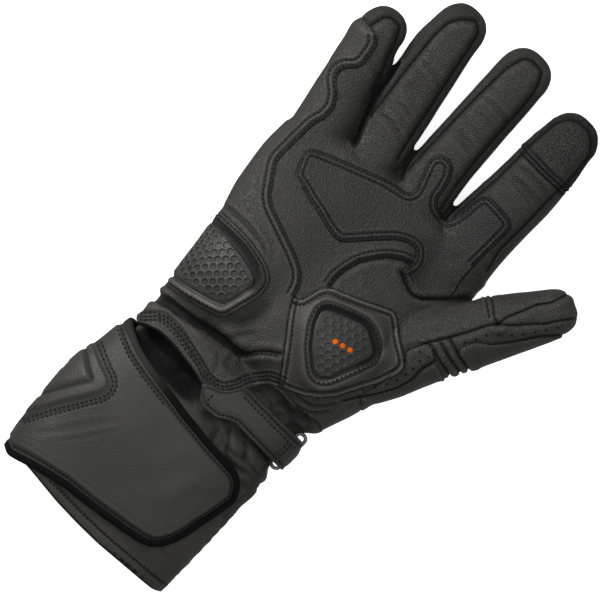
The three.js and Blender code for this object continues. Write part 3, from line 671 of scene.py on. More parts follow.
def shapeHand(mesh):
    points = toDrawing(readPoints(mesh))
    normals = readNormals(mesh)
    spots = points[:, :2].copy()
    top = topShare(points, normals)
    rise = np.zeros(len(points))
    inRecess = (spots[:, 1] < -38.5) & (spots[:, 0] > 5)
    seamNear = np.full(len(points), 9.0)
    fingerFront = np.full(len(points), -9.0)
    panelEdge = np.full(len(points), 9.0)
    sewnNear = np.full(len(points), 9.0)
    for name, panel in panels.items():
        outline = smoothLine(panel["outline"], closed=True, step=0.9)
        depth = depthInside(spots, outline)
        if name == "sideReinforcement":
            depth[inRecess] = 9.0
        panel["depth"] = depth
        if "soft" in panel:
            rise += panel["rise"] * smoothstep(-panel["soft"], panel["soft"], depth)
            continue
        rise += panel["rise"] * smoothstep(-0.45, 0.45, depth)
        rise -= 0.4 * hump(depth + 0.5, 0.45)
        panelEdge = np.minimum(panelEdge, np.where(top > 0.2, np.abs(depth), 9.0))
    pad = panels["heelPad"]["depth"]
    rim = depthInside(spots, smoothLine(padRim["outline"], closed=True, step=0.9))
    rise += padRim["swell"] * hump(np.maximum(-rim - 3.2, 0), 3.4) * smoothstep(2.8, 5.5, pad)
    rise -= padRim["sink"] * smoothstep(-0.8, 0.9, rim)
    sliderDepth = depthInside(spots, smoothLine(sliderPad["outline"], closed=True, step=0.9))
    rise += 0.4 * hump(sliderDepth + 2.4, 1.6)
    closed = smoothstep(-50, -55, spots[:, 0]) * smoothstep(-8, -2.5, spots[:, 1])
    rise -= sliderPad["sink"] * smoothstep(-0.8, 0.5, sliderDepth) * (1 - closed)
    for line, offsets, closed in stitchRows:
        for offset in offsets:
            row = besideLine(smoothLine(line, closed=closed, step=0.9), offset)
            distance, _, _ = lineDistance(spots, row, 4.0)
            rise -= 0.5 * hump(distance, 0.6)
            rise += 0.2 * hump(distance - 1.3, 0.6)
            sewnNear = np.minimum(sewnNear, np.where(top > 0.2, distance, 9.0))
    for name, (line, width, depth, swell, pull) in seams.items():
        line = smoothLine(line, step=1.2)
        distance, along, side = lineDistance(spots, line)
        rise -= depth * hump(distance, width)
        rise += swell * hump(distance - 3.2, 2.0) * (distance < 8.9)
        rise += gather(along, distance, side, pull)
        if name in fingerRims:
            around = np.concatenate([line, fingerRims[name]]) if fingerRims[name] else line
            fingerFront = np.maximum(fingerFront, depthInside(spots, around))
        seamNear = np.minimum(seamNear, np.where(top > 0.2, distance, 9.0))
    # painted shade in the slits between the fingers and in the deeper folds
    foldShade = np.zeros(len(points))
    for line, width in slits:
        distance, _, _ = lineDistance(spots, smoothLine(line, step=1.2), 8.0)
        deep = hump(distance, width)
        rise += 0.5 * (width > 1.2) * hump(distance - 2.2 * width, 0.9) - 1.6 * deep
        foldShade = np.maximum(foldShade, 1.05 * deep)
    for line, width, depth in folds:
        line = smoothLine(line, step=1.5)
        distance, along, side = lineDistance(spots, line, 12.0)
        total = len(line) * 1.5
        fade = smoothstep(0, 6, along) * smoothstep(0, 6, total - along)
        rise -= fade * depth * hump(distance, width)
        if depth > 0.8:
            share = fade * min(depth / 2.6, 1) * hump(distance, (1.25 if depth > 2 else 0.9) * width)
            foldShade = np.maximum(foldShade, share)
        rise += fade * 0.4 * depth * hump(distance - 2.2 * width, 1.1 * width) * (distance < 11.9)
    # the leather below the hem on the thumb side lies deeper
    away, _, side = lineDistance(spots, underHem, 30.0)
    under = smoothstep(0.2, 1.6, -away * side) * smoothstep(0, 6, points[:, 0])
    under *= smoothstep(54, 43, points[:, 0])
    rise -= under * (2.6 - 1.1 * noise(points * np.array([1, 1.6, 1]), 5, 15))
    # soft hang of the leather, and fine lines across the fingers
    onFinger = smoothstep(84, 100, points[:, 1])
    rise += 0.3 * noise(points, 17, 3) + 0.16 * noise(points, 8, 5)
    stretched = points * np.array([0.35, 1, 0.6])
    rise += (0.03 + 0.03 * onFinger) * noise(stretched, 2.6, 7)
    fineLines = (1 - np.abs(noise(points * np.array([0.5, 1, 0.7]), 4.2, 9))) ** 3
    rise -= (0.03 + 0.02 * onFinger) * fineLines
    # soft folds across the fingers
    across = points * np.array([0.12, 1, 0.3])
    front = smoothstep(0.6, 4.0, fingerFront)
    rise += onFinger * front * (0.8 * noise(across, 9, 51) + 0.05 * noise(across, 3.4, 52))
    rise += onFinger * 0.7 * smoothstep(0, 5.5, fingerFront)
    rise += onFinger * 0.5 * hump(fingerFront + 2.3, 0.8) * (points[:, 0] < 58)
    # the lower halves of the little and ring fingers lean together
    slit = -39.5 - (points[:, 1] - 84) * 0.34
    lean = smoothstep(60, 72, points[:, 1]) * smoothstep(121, 110, points[:, 1])
    lean *= smoothstep(25, 17, points[:, 2])
    lean *= hump(points[:, 0] - slit, 5.0) * -np.sign(points[:, 0] - slit) * 2.9
    lean *= smoothstep(0.25, 0.85, np.abs(normals[:, 0]))
    slack = hump(points[:, 1] + 49, 9)
    rise += slack * 0.5 * noise(points * np.array([1.6, 0.5, 1]), 6, 11)
    amount = rise * top + (0.35 * noise(points, 17, 3) + 0.12 * noise(points, 5, 6)) * (1 - top)
    resting = smoothstep(0.2, 2.5, points[:, 2])
    amount = np.where(points[:, 2] < 2.5, np.minimum(amount, 0.4), amount) * (0.15 + 0.85 * resting)
    moved = points + normals * amount[:, None]
    moved[:, 0] += lean
    # the wrist's hem runs in a curve
    pull = smoothstep(-50, -62, points[:, 1]) * smoothstep(25, 35, points[:, 2])
    moved[:, 1] += (wristRow(points[:, 0]) - wristAt) * pull
    moved[:, 2] = np.maximum(moved[:, 2], 0.05)
    writePoints(mesh, toRow(moved))
    # painted shade: near the finger rims, in the hollow beside the thumb crotch, in the folds, and darker
    # over the index finger
    rimShade = hump(np.maximum(fingerFront, 0), 2.0) * onFinger * (fingerFront > -1) * top
    valleyShade = np.exp(-(((spots[:, 0] - 33) / 9) ** 2) - ((spots[:, 1] - 56) / 13) ** 2)
    shade = 0.9 * foldShade * top + 0.3 * rimShade + 0.42 * valleyShade * top
    shade += 0.16 * smoothstep(24, 30, spots[:, 0]) * smoothstep(80, 92, spots[:, 1]) * (spots[:, 0] < 60)
    sideEnd = np.where(points[:, 1] > 128, 58, 50)
    # painted shade on the finger sides outside their fronts
    outside = smoothstep(0.4, -1.2, fingerFront) * smoothstep(88, 97, points[:, 1])
    outside *= top * (points[:, 0] < sideEnd)
    smooth = 0.8 * smoothstep(0, 1, pad) + 0.55 * smoothstep(-1, 2, panels["sliderSurround"]["depth"])
    smooth += 0.3 * smoothstep(0, 1, panels["sideReinforcement"]["depth"])
    # painted shade in the groove round the slider pad and inside the heel recess's rim, wider on the side
    # towards the fingers
    pit = hump(np.maximum(np.abs(sliderDepth - 0.3) - 1.8, 0), 0.45)
    pit *= smoothstep(-17, -11, spots[:, 1]) * (1 - closed)
    upward = smoothstep(-0.35, 0.5, (spots[:, 1] + 3) / np.hypot(spots[:, 0] - 29, spots[:, 1] + 3))
    recessRimShade = hump(np.maximum(np.abs(rim - 0.6) - 0.3 - 0.8 * upward, 0), 0.4)
    pit = np.maximum(pit, (0.6 + 0.35 * upward) * recessRimShade)
    # below, outside, pit and shade carry painted shade
    return {"seam": seamNear, "edge": panelEdge, "sewn": sewnNear, "below": under * top, "top": top,
            "outside": outside, "smooth": smooth * top, "pit": pit * top, "shade": shade, "points": points}


handFacts = shapeHand(hand.data)
print("hand shaped")


# cutting the skin into its pieces
def facesOf(mesh):
    corners = np.empty(len(mesh.polygons) * 4, np.int32)
    mesh.polygons.foreach_get("vertices", corners)
    return corners.reshape(-1, 4)


# a piece of a bigger mesh that keeps the whole mesh's shading along its cuts
def cutPiece(name, points, normals, faces, values):
    used = np.unique(faces)
    place = np.full(len(points), -1)
    place[used] = np.arange(len(used))
    made = makeMesh(name, points[used], place[faces], drawing=False)
    for key, value in values.items():
        addValues(made.data, key, value[used])
    made.data.normals_split_custom_set_from_vertices(normals[used].tolist())
    return made


handMesh = hand.data
handPoints, handNormals, handFaces = readPoints(handMesh), readNormals(handMesh), facesOf(handMesh)
handDrawing = toDrawing(handPoints)
# crown: how convex the skin is; convex parts are painted lighter, partly wear and partly highlight
bend = ((blurOver(handMesh, handPoints, 8) - handPoints) * handNormals).sum(1) * 1000
crown = np.clip(0.5 - blurOver(handMesh, bend, 2) * 2.2, 0, 1)
skinX, skinY, skinZ = handFacts["points"].T
# painted shade on the lower sides of the fingers, where they lie between each other
between = 0.75 * smoothstep(25, 17, skinZ) * smoothstep(84, 92, skinY)
between *= smoothstep(62, 56, skinX + 9 * (skinY < 128))
handValues = {
    "crown": crown,
    "seam": handFacts["seam"],
    "edge": handFacts["edge"],
    "sewn": handFacts["sewn"],
    "patch": smoothstep(-0.3, 0.3, panels["palmPatch"]["depth"]) * handFacts["top"],
    "suede": smoothstep(-0.2, 0.2, panels["indexTip"]["depth"]) * smoothstep(15, 24, skinX) * (skinZ > 12),
    "smooth": handFacts["smooth"],
    # dark on the hand is painted shade: between the lower finger sides, below the hem, outside the finger
    # fronts, in the slider's groove, and in folds and hollows
    "dark": np.clip(between + 0.5 * handFacts["below"] + 0.4 * handFacts["outside"] + 0.9 * handFacts["pit"]
                    + handFacts["shade"], 0, 0.96),
}
cuts = {
    "root": 84, "level": 17,  # where fingers begin, and where palm and back leathers meet
    "fingers": {"littleFinger": (-39.5, 0.34), "ringFinger": (-12.2, 0), "middleFinger": (21.2, 0),
                "indexFinger": (200, 0)},  # the far edge at the root, and how it leans
}
centre = handDrawing[handFaces].mean(1)
pastRoot = centre[:, 1] > cuts["root"]
pastThumbSeam = (0.966 * (centre[:, 0] - 61.5) + 0.259 * (centre[:, 1] - 64) > 0) & (centre[:, 0] > 50)
isThumb = pastThumbSeam & ~(pastRoot & (centre[:, 0] < 61))
handPieces = {}
left = ~isThumb
for name, (edge, lean) in cuts["fingers"].items():
    pick = left & pastRoot & (centre[:, 0] < edge - (centre[:, 1] - cuts["root"]) * lean)
    handPieces[name] = pick
    left &= ~pick
handPieces["palmLeather"] = left & (centre[:, 2] > cuts["level"])
handPieces["backLeather"] = left & (centre[:, 2] <= cuts["level"])
handPieces["thumbLeather"] = isThumb
for name, pick in handPieces.items():
    handPieces[name] = cutPiece(name, handPoints, handNormals, handFaces[pick], handValues)
bpy.data.objects.remove(hand)
print("hand cut into", len(handPieces), "pieces")


# sheets laid on the cuff and the wrist
# what a place far from any seam has
plainFacts = {"seam": 9.0, "sewn": 9.0, "edge": 9.0, "crown": 0.0, "patch": 0.0, "dark": 0.0}


# a closed sheet between two grids of points (rows, columns, 3), its outer side first
def sheetSolid(name, outer, inner, values, wrap=False):
    rows, columns = outer.shape[:2]
    count = rows * columns
    faces = [gridFaces(rows, columns, wrap), gridFaces(rows, columns, wrap)[:, ::-1] + count]
    for line in (np.arange(columns), (rows - 1) * columns + np.arange(columns)):
        a = line if wrap else line[:-1]
        b = np.roll(line, -1) if wrap else line[1:]
        faces.append(np.stack([a, b, b + count, a + count], 1))
    if not wrap:
        start, end = np.arange(rows) * columns, np.arange(rows) * columns + columns - 1
        faces.append(np.stack([start[:-1], start[:-1] + count, start[1:] + count, start[1:]], 1))
        faces.append(np.stack([end[:-1], end[1:], end[1:] + count, end[:-1] + count], 1))
    points = np.concatenate([outer.reshape(-1, 3), inner.reshape(-1, 3)])
    made = makeMesh(name, points, np.concatenate(faces))
    fixNormals(made)
    for key, plain in plainFacts.items():
        flat = np.broadcast_to(values.get(key, plain), (rows, columns)).ravel()
        addValues(made.data, key, np.concatenate([flat, np.full(count, plain)]))
    return made


def fixNormals(made):
    editAll(made, lambda: bpy.ops.mesh.normals_make_consistent(inside=False))


def roundSection(table, y, steps=720):
    angle = np.linspace(0, 2 * math.pi, steps + 1)
    points = armPoint(table, y, angle, 0)
    return angle, points, runAlong(points)


flap = {
    "inside": -2.2, "outside": 1.0, "turnUp": 9,
    "topEdge": [(-70, -67), (-53, -67.8), (-50, -69.8), (-40, -73.8), (-30, -75.8), (-10, -78.3), (0, -79.8),
                (20, -81.8), (30, -82.3), (38, -82.8), (42.4, -84.7), (45.9, -88.6), (48.1, -93)],
    "bottomEdge": [(-70, -150), (-57, -152.6), (-53, -155.4), (-50, -156.8), (-44, -155), (-40, -153.6),
                   (-30, -150.8), (-18, -148), (0, -146), (20, -142.8), (30, -140.8), (35, -138.4),
                   (38.6, -134.6), (41.4, -128.6), (43.6, -121), (44.9, -113), (46.6, -105), (48.1, -96)],
    "creases": [([(-19, -103), (-27, -115), (-37, -129), (-47, -142)], 1.5, 0.2),
                ([(-15, -104), (-23, -118), (-34, -134)], 1.1, 0.13),
                ([(-23, -106), (-32, -119), (-42, -132)], 1.0, 0.1),
                ([(20, -92), (16, -104), (12, -118)], 4.0, 0.2),
                ([(34, -98), (31, -112), (28, -128)], 4.0, 0.25)],
    "stitchInset": 4.1,
}
chevron = {
    "outline": [
        (-95, -78), (-57, -83.6), (-50, -86.5), (-43, -89.4), (-37, -91.4), (-33.4, -94.3), (-31.9, -99.3),
        (-32.8, -104), (-35.5, -108.7), (-43.8, -122.7), (-49, -132), (-54, -141.2), (-95, -160)][::-1],
    "groove": [
        (-70, -86), (-60, -91.2), (-56.4, -93.1), (-49.6, -97.6), (-45.8, -99.7), (-42.6, -101.2),
        (-44.4, -103.6), (-49.5, -112.5), (-55.3, -122.7), (-66, -142)],
    "rise": 1.5, "border": 4.1, "rows": (0.3, 2.3),
}


def edgeRow(table, x):
    xs, ys = np.array(table).T
    return np.interp(x, xs, ys)


# turns round the section for the flap's columns, from its free edge over the palm side to the far side
def flapColumns():
    angle, points, run = roundSection(cuff, -112.0)
    topPart = angle <= math.pi / 2
    first = np.interp(-48.0, -points[topPart, 0], run[topPart])
    lower = (angle > math.pi * 1.5) & (points[:, 2] < flap["turnUp"])
    last = run[lower].max()
    runFine = np.concatenate([
        first + 8 * np.linspace(0, 1, 16)[:-1] ** 1.4,
        np.arange(first + 8, np.interp(math.pi, angle, run) + 6, 0.85),
    ])
    runBack = np.arange(runFine[-1] + 1.2, last, 1.5)
    return np.interp(np.concatenate([runFine, runBack, [last]]), run, angle)


def flapGrid(offset, rowsCount=112):
    angles = flapColumns()
    share = np.linspace(0, 1, rowsCount)
    onPalm = angles < math.pi
    top = np.full(len(angles), -67.0)
    bottom = np.full(len(angles), -150.0)
    for _ in range(4):
        xTop = armPoint(cuff, top, angles, offset)[:, 0]
        xBottom = armPoint(cuff, bottom, angles, offset)[:, 0]
        top = np.where(onPalm, edgeRow(flap["topEdge"], xTop), -66.2)
        bottom = np.where(onPalm, edgeRow(flap["bottomEdge"], xBottom), -154.5)
    blend = smoothstep(math.pi, math.pi * 1.35, angles)
    top = top * (1 - blend) + -62.6 * blend
    y = bottom[None, :] + (top - bottom)[None, :] * share[:, None]
    return angles, y


def buildFlap():
    angles, y = flapGrid(flap["outside"])
    flat = armPoint(cuff, y, angles, flap["outside"])
    spots = flat[..., :2].reshape(-1, 2)
    onTop = smoothstep(14, 19, flat[..., 2]).ravel()
    # distance to the free edge, measured on the drawing
    edge = np.concatenate([flat[0, :, :2][angles < math.pi][::-1], flat[-1, :, :2][angles < math.pi]])
    edgeDistance, _, _ = lineDistance(spots, edge, 12.0)
    edgeDistance = np.where(onTop > 0.3, edgeDistance, 12.0)
    lift = (0.85 * smoothstep(4.0, 5.6, edgeDistance) + 0.3 * smoothstep(5.6, 9, edgeDistance)) * onTop
    lift -= 0.3 * hump(edgeDistance - flap["stitchInset"], 0.6) * onTop
    lift += 0.3 * hump(edgeDistance - flap["stitchInset"] - 2.0, 0.9) * onTop
    facing = smoothstep(20, 36, flat[..., 2]).ravel()
    depth = depthInside(spots, smoothLine(chevron["outline"], closed=True, step=1.2))
    step = depth - chevron["border"]
    lift += chevron["rise"] * smoothstep(-0.5, 0.6, step) * facing
    lift -= 0.4 * hump(step + 0.6, 0.6) * facing
    for row in chevron["rows"]:
        lift -= 0.35 * hump(depth - row, 0.6) * facing
    groove, _, side = lineDistance(spots, smoothLine(chevron["groove"], step=1.0))
    lift -= 1.4 * hump(groove, 0.8) * facing
    lift += 0.5 * (side < 0) * smoothstep(0.5, 2.5, groove) * facing * (groove < 8.9)
    for line, width, sink in flap["creases"]:
        line = smoothLine(line, step=1.5)
        distance, along, _ = lineDistance(spots, line, 14.0)
        fade = smoothstep(0, 9, along) * smoothstep(0, 9, len(line) * 1.5 - along)
        lift -= fade * sink * hump(distance, width) * onTop
        lift += fade * 0.5 * sink * hump(distance - 2 * width, width) * onTop
    whole = flat.reshape(-1, 3)
    free = smoothstep(2.0, 7.0, edgeDistance)
    lift += free * (0.35 * noise(whole, 26, 21) + 0.14 * noise(whole, 9, 22) + 0.04 * noise(whole, 2.4, 23))
    lift -= 0.35 * smoothstep(3.3, 2.9, edgeDistance) * onTop
    lift = np.where(whole[:, 2] < 4, np.minimum(lift, 0.0) * 0.1, lift)
    outer = armPoint(cuff, y, angles, flap["outside"] + lift.reshape(y.shape))
    outer[..., 2] = np.maximum(outer[..., 2], 0.05)
    inner = armPoint(cuff, y, angles, flap["inside"])
    seamNear = np.minimum(groove, np.abs(step) + 0.45).reshape(y.shape)
    sewnFlap = np.minimum(np.abs(depth - chevron["rows"][0]), np.abs(depth - chevron["rows"][1]))
    sewnFlap = np.minimum(sewnFlap, np.abs(edgeDistance - flap["stitchInset"])).reshape(y.shape)
    # raised flap leather gets a higher crown, and so a painted highlight
    values = {"seam": seamNear, "sewn": sewnFlap, "crown": 0.5 + 0.25 * lift.reshape(y.shape) / 2}
    return sheetSolid("cuffFlap", outer, inner, values), angles, y


cuffFlap, flapAngles, flapY = buildFlap()
print("flap built")


# a band that follows a line: each station is a place, two directions, and the section's points in them
def sweepBand(name, centre, outward, upward, section, closed=False):
    across, up = np.asarray(section, float).T[:, None, :, None]
    rings = centre[:, None, :] + across * outward[:, None, :] + up * upward[:, None, :]
    count, sides = len(centre), len(section)
    faces = ringFaces(count, sides, not closed, not closed)
    if closed:
        last = (count - 1) * sides
        faces += [[last + k, last + (k + 1) % sides, (k + 1) % sides, k] for k in range(sides)]
    made = makeMesh(name, rings.reshape(-1, 3), faces)
    fixNormals(made)
    return made


def unit(vectors):
    return vectors / np.maximum(np.sqrt((vectors**2).sum(-1, keepdims=True)), 1e-9)


binding = {"width": 3.2, "proud": 0.75}


# the folded tape along the flap's free edge, from the pinky side's top edge round to its bottom edge
def buildBinding():
    reach = flapAngles < math.pi * 1.06
    outside, inside = (armPoint(cuff, flapY, flapAngles, flap[k])[:, reach] for k in ("outside", "inside"))
    top, low = (np.concatenate([each[-1, ::-1], each[-2:0:-1, 0], each[0]]) for each in (outside, inside))
    run = runAlong(top)
    wanted = np.arange(0, run[-1], 0.9)
    top = np.stack([np.interp(wanted, run, top[:, k]) for k in range(3)], 1)
    low = np.stack([np.interp(wanted, run, low[:, k]) for k in range(3)], 1)
    kernel = np.ones(5) / 5
    for line in (top, low):
        for k in range(3):
            line[2:-2, k] = np.convolve(line[:, k], kernel, "same")[2:-2]
    upward = unit(top - low)
    ahead = unit(np.gradient((top + low) / 2, axis=0))
    outward = unit(np.cross(upward, ahead))
    thick = flap["outside"] - flap["inside"]
    p, w = binding["proud"], binding["width"]
    section = [(-w, thick - 0.1), (-w + 0.3, thick + p * 0.8), (-w * 0.5, thick + p), (0.2, thick + p * 0.6),
               (0.75, thick * 0.75), (0.85, thick * 0.45), (0.55, 0.05), (-0.3, -0.2), (-w * 0.6, -0.15),
               (-w, 0.1)]
    made = sweepBand("flapBinding", low, outward, upward, section)
    place = toDrawing(readPoints(made.data))
    # the tape is painted a lighter grey on the upper pinky side
    addValues(made.data, "folded", smoothstep(-8, -34, place[:, 0]) * (place[:, 1] > -100))
    return made


flapBinding = buildBinding()

innerCuff = {
    "outside": -2.5, "inside": -4.7,
    "folds": [([(2, -74), (10, -74.5), (17, -78), (23, -84)], 1.3, 1.1),
              ([(18, -70), (27, -73), (32, -79), (41, -81)], 1.3, 1.0),
              ([(34, -71), (41, -75), (49, -75.5)], 1.2, 0.9),
              ([(40, -88), (46, -85), (52, -86)], 1.5, 0.7)],
}


def hemRow(x):
    return np.interp(x, [-55, -35, -15, 0, 15, 30, 50, 53.5, 56],
                     [-153, -153.8, -155.6, -156, -155.8, -154.6, -153.2, -152, -151.6])


def buildInnerCuff():
    columns = 240
    angles = np.arange(columns) / columns * 2 * math.pi
    x = armPoint(cuff, -156.0, angles, -2.5)[:, 0]
    start = hemRow(x)
    share = np.linspace(0, 1, 130)[:, None]
    y = start[None, :] + (-49.5 - start)[None, :] * share
    flat = armPoint(cuff, y, angles, innerCuff["outside"])
    whole = flat.reshape(-1, 3)
    onTop = smoothstep(20, 30, flat[..., 2])
    rightSide = smoothstep(30, 48, flat[..., 0])
    lift = 0.5 * noise(whole * np.array([1, 0.5, 1]), 13, 31).reshape(y.shape)
    pocket = hump(flat[..., 1] + 68, 6.5) * smoothstep(4, -10, flat[..., 0]) * onTop
    lift -= 10.5 * pocket
    lift += (0.8 * noise(whole * np.array([0.4, 1.6, 0.6]), 7, 33).reshape(y.shape)
             * hump(flat[..., 1] + 74, 7) * onTop)
    scrunch = (1 - np.abs(noise(whole * np.array([0.55, 1.5, 0.8]), 8, 35))) ** 3
    upper = smoothstep(-112, -96, flat[..., 1])
    lift -= (0.7 + 1.3 * upper) * scrunch.reshape(y.shape) * smoothstep(-150, -140, flat[..., 1])
    lift += 0.9 * upper * noise(whole * np.array([0.5, 1.2, 0.8]), 9, 39).reshape(y.shape) * rightSide
    lift -= 0.3 * (((1 - np.abs(noise(whole * np.array([0.8, 1.4, 0.8]), 3.5, 37))) ** 3).reshape(y.shape))
    creased = np.zeros(y.shape)
    for line, width, sink in innerCuff["folds"]:
        line = smoothLine(line, step=1.5)
        swayed = whole[:, :2] + 2.6 * noise(whole, 9, 43)[:, None]
        distance, along, _ = (each.reshape(y.shape) for each in lineDistance(swayed, line, 12.0))
        fade = smoothstep(0, 5, along) * smoothstep(0, 5, len(line) * 1.5 - along)
        fade *= smoothstep(12, 22, flat[..., 2])
        lift -= fade * sink * hump(distance, width)
        lift += 0.4 * fade * sink * hump(distance - 2.2 * width, width) * (distance < 11.9)
        creased = np.maximum(creased, fade * hump(distance, 0.9 * width))
    lift += 0.5 * hump(y - start[None, :] - 2.2, 1.8)
    lift = np.clip(lift + 0.3, -12, 0.75)
    lift = np.where(flat[..., 2] < 10, np.minimum(lift, 0), lift)
    outer = armPoint(cuff, y, angles, innerCuff["outside"] + lift)
    inner = armPoint(cuff, y, angles, innerCuff["inside"] + np.minimum(lift, 0))
    # painted shade in the creases and in the scrunched upper sleeve; the pocket is painted near black,
    # partly its black lining and partly painted shade in the deep hollow
    creaseShade = (0.1 + 0.3 * scrunch.reshape(y.shape)) * upper * onTop + 0.42 * creased
    values = {"sewn": np.abs(y - start[None, :] - 5.0), "crown": 0.5,
              "dark": np.maximum(smoothstep(0.03, 0.3, pocket), creaseShade)}
    return sheetSolid("innerCuff", outer, inner, values, wrap=True)


innerSleeve = buildInnerCuff()
print("cuff built")


# the rolled edge of the sleeve's mouth
def buildCuffHem():
    angles = np.arange(260) / 260 * 2 * math.pi
    x = armPoint(cuff, -156.0, angles, -2.5)[:, 0]
    y = hemRow(x)
    top = armPoint(cuff, y, angles, -2.1)
    low = armPoint(cuff, y, angles, -5.1)
    upward = unit(top - low)
    ahead = unit(np.roll(top, -1, 0) - np.roll(top, 1, 0))
    outward = unit(np.cross(upward, ahead))
    outward *= np.where(outward[:, 1:2] > 0, -1, 1)
    t = 3.0
    section = [(-3.4, t - 0.2), (-3.0, t + 0.25), (-1, t + 0.3), (0.5, t * 0.85), (0.9, t * 0.5), (0.5, 0.2),
               (-1, -0.1), (-3.0, 0), (-3.4, 0.4)]
    top[:, 2] = np.maximum(top[:, 2], 0.5)
    return sweepBand("cuffMouthEdge", low, outward, upward, section, closed=True)


cuffMouthEdge = buildCuffHem()


# the turned edge of the hand's leather at the wrist
def buildWristHem():
    angles = np.arange(280) / 280 * 2 * math.pi
    flat = armPoint(palm, wristAt, angles, -1.1)
    centre = flat.copy()
    centre[:, 1] = wristAt + (wristRow(flat[:, 0]) - wristAt) * smoothstep(25, 35, flat[:, 2])
    upward = unit(armPoint(palm, wristAt, angles, 0.0) - flat)
    outward = np.tile([0.0, -1.0, 0.0], (len(angles), 1))
    section = [(1.0, 0.0), (0.8, 0.8), (0.1, 1.2), (-1.2, 1.15), (-2.2, 0.9), (-2.2, -0.9), (-1.2, -1.1),
               (0.1, -1.1), (0.8, -0.8)]
    centre[:, 2] = np.maximum(centre[:, 2], 1.3)
    return sweepBand("wristHem", centre, outward, upward, section, closed=True)


wristHem = buildWristHem()

strap = {
    "inside": 0.3, "outside": 1.9,
    "topEdge": [(-4, -63.4), (0, -60.5), (5, -58.5), (8, -55.5), (12, -49.4), (16, -49), (60, -49.6)],
    "bottomEdge": [(-4, -64.6), (0, -70), (4, -72), (12, -71), (17, -67.8), (21, -66), (35, -66.3),
                   (60, -66.6)],
}
strapTable = dict(palm, right=[v + 4.6 if y < -40 else v for y, v in zip(palm["y"], palm["right"])])


def buildStrap():
    angle, points, run = roundSection(strapTable, -57.0)
    onTop = (angle > 0) & (angle < math.pi)
    tipRun = np.interp(4, -points[onTop, 0], run[onTop])
    total = run[-1]
    backPart = angle > math.pi * 1.5
    endRun = np.interp(8, points[backPart, 0], run[backPart])
    # from the tip back over the palm side to the edge, then under to the back
    wanted = np.concatenate([np.arange(tipRun, 0, -0.9), np.arange(total, endRun, -1.1)])
    angles = np.interp(wanted, run, angle)
    x = armPoint(strapTable, -57.0, angles, strap["outside"])[:, 0]
    top = edgeRow(strap["topEdge"], x)
    bottom = edgeRow(strap["bottomEdge"], x)
    under = angles > math.pi
    top[under], bottom[under] = -49.5, -61.4
    turn = smoothstep(0.0, 0.5, np.where(under, 2 * math.pi - angles, 0))
    bottom = np.where(under, -66.5 + 5.1 * turn, bottom)
    share = np.linspace(0, 1, 34)[:, None]
    y = bottom[None, :] + (top - bottom)[None, :] * share
    yy = np.maximum(y, wristAt)
    edge = np.minimum(share, 1 - share) * (top - bottom)[None, :]
    flatOut = armPoint(strapTable, yy, angles, strap["outside"])
    lift = -0.35 * hump(edge - 2.2, 0.6) + 0.25 * smoothstep(2.5, 6, edge)
    lift += 0.18 * noise(flatOut.reshape(-1, 3), 9, 41).reshape(y.shape)
    lift -= 0.5 * smoothstep(0.8, 0, edge)
    lift = np.where(flatOut[..., 2] < 3, np.minimum(lift, 0), lift)
    outer = armPoint(strapTable, yy, angles, strap["outside"] + lift)
    inner = armPoint(strapTable, yy, angles, strap["inside"])
    for side in (outer, inner):
        side[..., 1] = y
    # raised strap leather gets a higher crown, and so a painted highlight
    return sheetSolid("wristStrap", outer, inner, {"sewn": np.abs(edge - 2.2), "crown": 0.5 + 0.4 * lift})


wristStrap = buildStrap()
print("strap built")

lining = handForm("handLining", -4.7, 2.6, 4, False)
editAll(lining, cutBelow(-50.5), bpy.ops.mesh.flip_normals)
print("lining built")


# the topmost surface, for what is sewn on it
def topTree(objects):
    points, faces, start = [], [], 0
    for each in objects:
        p = toDrawing(readPoints(each.data))
        sizes = np.empty(len(each.data.polygons), np.int32)
        each.data.polygons.foreach_get("loop_total", sizes)
        if (sizes == 4).all():
            f = facesOf(each.data)
        else:
            f = np.array([list(q.vertices)[:4] for q in each.data.polygons if len(q.vertices) == 4])
        keep = p[f][:, :, 2].mean(1) > 14
        points.append(p)
        faces.append(f[keep] + start)
        start += len(p)
    return BVHTree.FromPolygons(np.concatenate(points).tolist(), np.concatenate(faces).tolist())


sewnOn = topTree(list(handPieces.values()) + [cuffFlap, innerSleeve, wristStrap])


# where points fall on the glove from above, and the way its surface faces there
def dropOn(spots):
    places, ways = [], []
    for x, y in spots:
        place, way, _, _ = sewnOn.ray_cast((x, y, 120), (0, 0, -1))
        if place is None:
            place, way = (math.nan,) * 3, (0, 0, 1)
        way = Vector(way)
        places.append(tuple(place))
        ways.append(tuple(way if way.z > 0 else -way))
    return np.array(places), np.array(ways)


thread = {"length": 1.7, "pitch": 2.35, "thick": 0.9, "high": 0.42}


# many small pieces that become one mesh
class Gathered:
    def __init__(self):
        self.points, self.faces, self.ridge, self.count = [], [], [], 0

    def add(self, points, faces, ridge=None):
        self.points.append(points)
        self.faces += [[k + self.count for k in face] for face in faces]
        self.ridge.append(np.ones(len(points)) if ridge is None else ridge)
        self.count += len(points)

    def build(self, name):
        made = makeMesh(name, np.concatenate(self.points), self.faces)
        addValues(made.data, "ridge", np.concatenate(self.ridge))
        return made


def circle(sides):
    turn = np.arange(sides) / sides * 2 * math.pi
    return np.stack([np.cos(turn), np.sin(turn)], 1)


def addStitch(stitches, place, along, way):
    across = np.cross(way, along)
    rings = []
    for t, r in ((-0.5, 0.25), (-0.36, 0.9), (0, 1.0), (0.36, 0.9), (0.5, 0.25)):
        dip = -0.3 * (abs(t) * 2) ** 3
        middle = place + along * t * thread["length"] + way * (dip + 0.1)
        rings.append(middle + np.outer(circle(6)[:, 0] * thread["thick"] / 2 * r, across)
                     + np.outer(circle(6)[:, 1] * thread["high"] * r, way))
    stitches.add(np.concatenate(rings), gridFaces(5, 6, wrap=True).tolist())


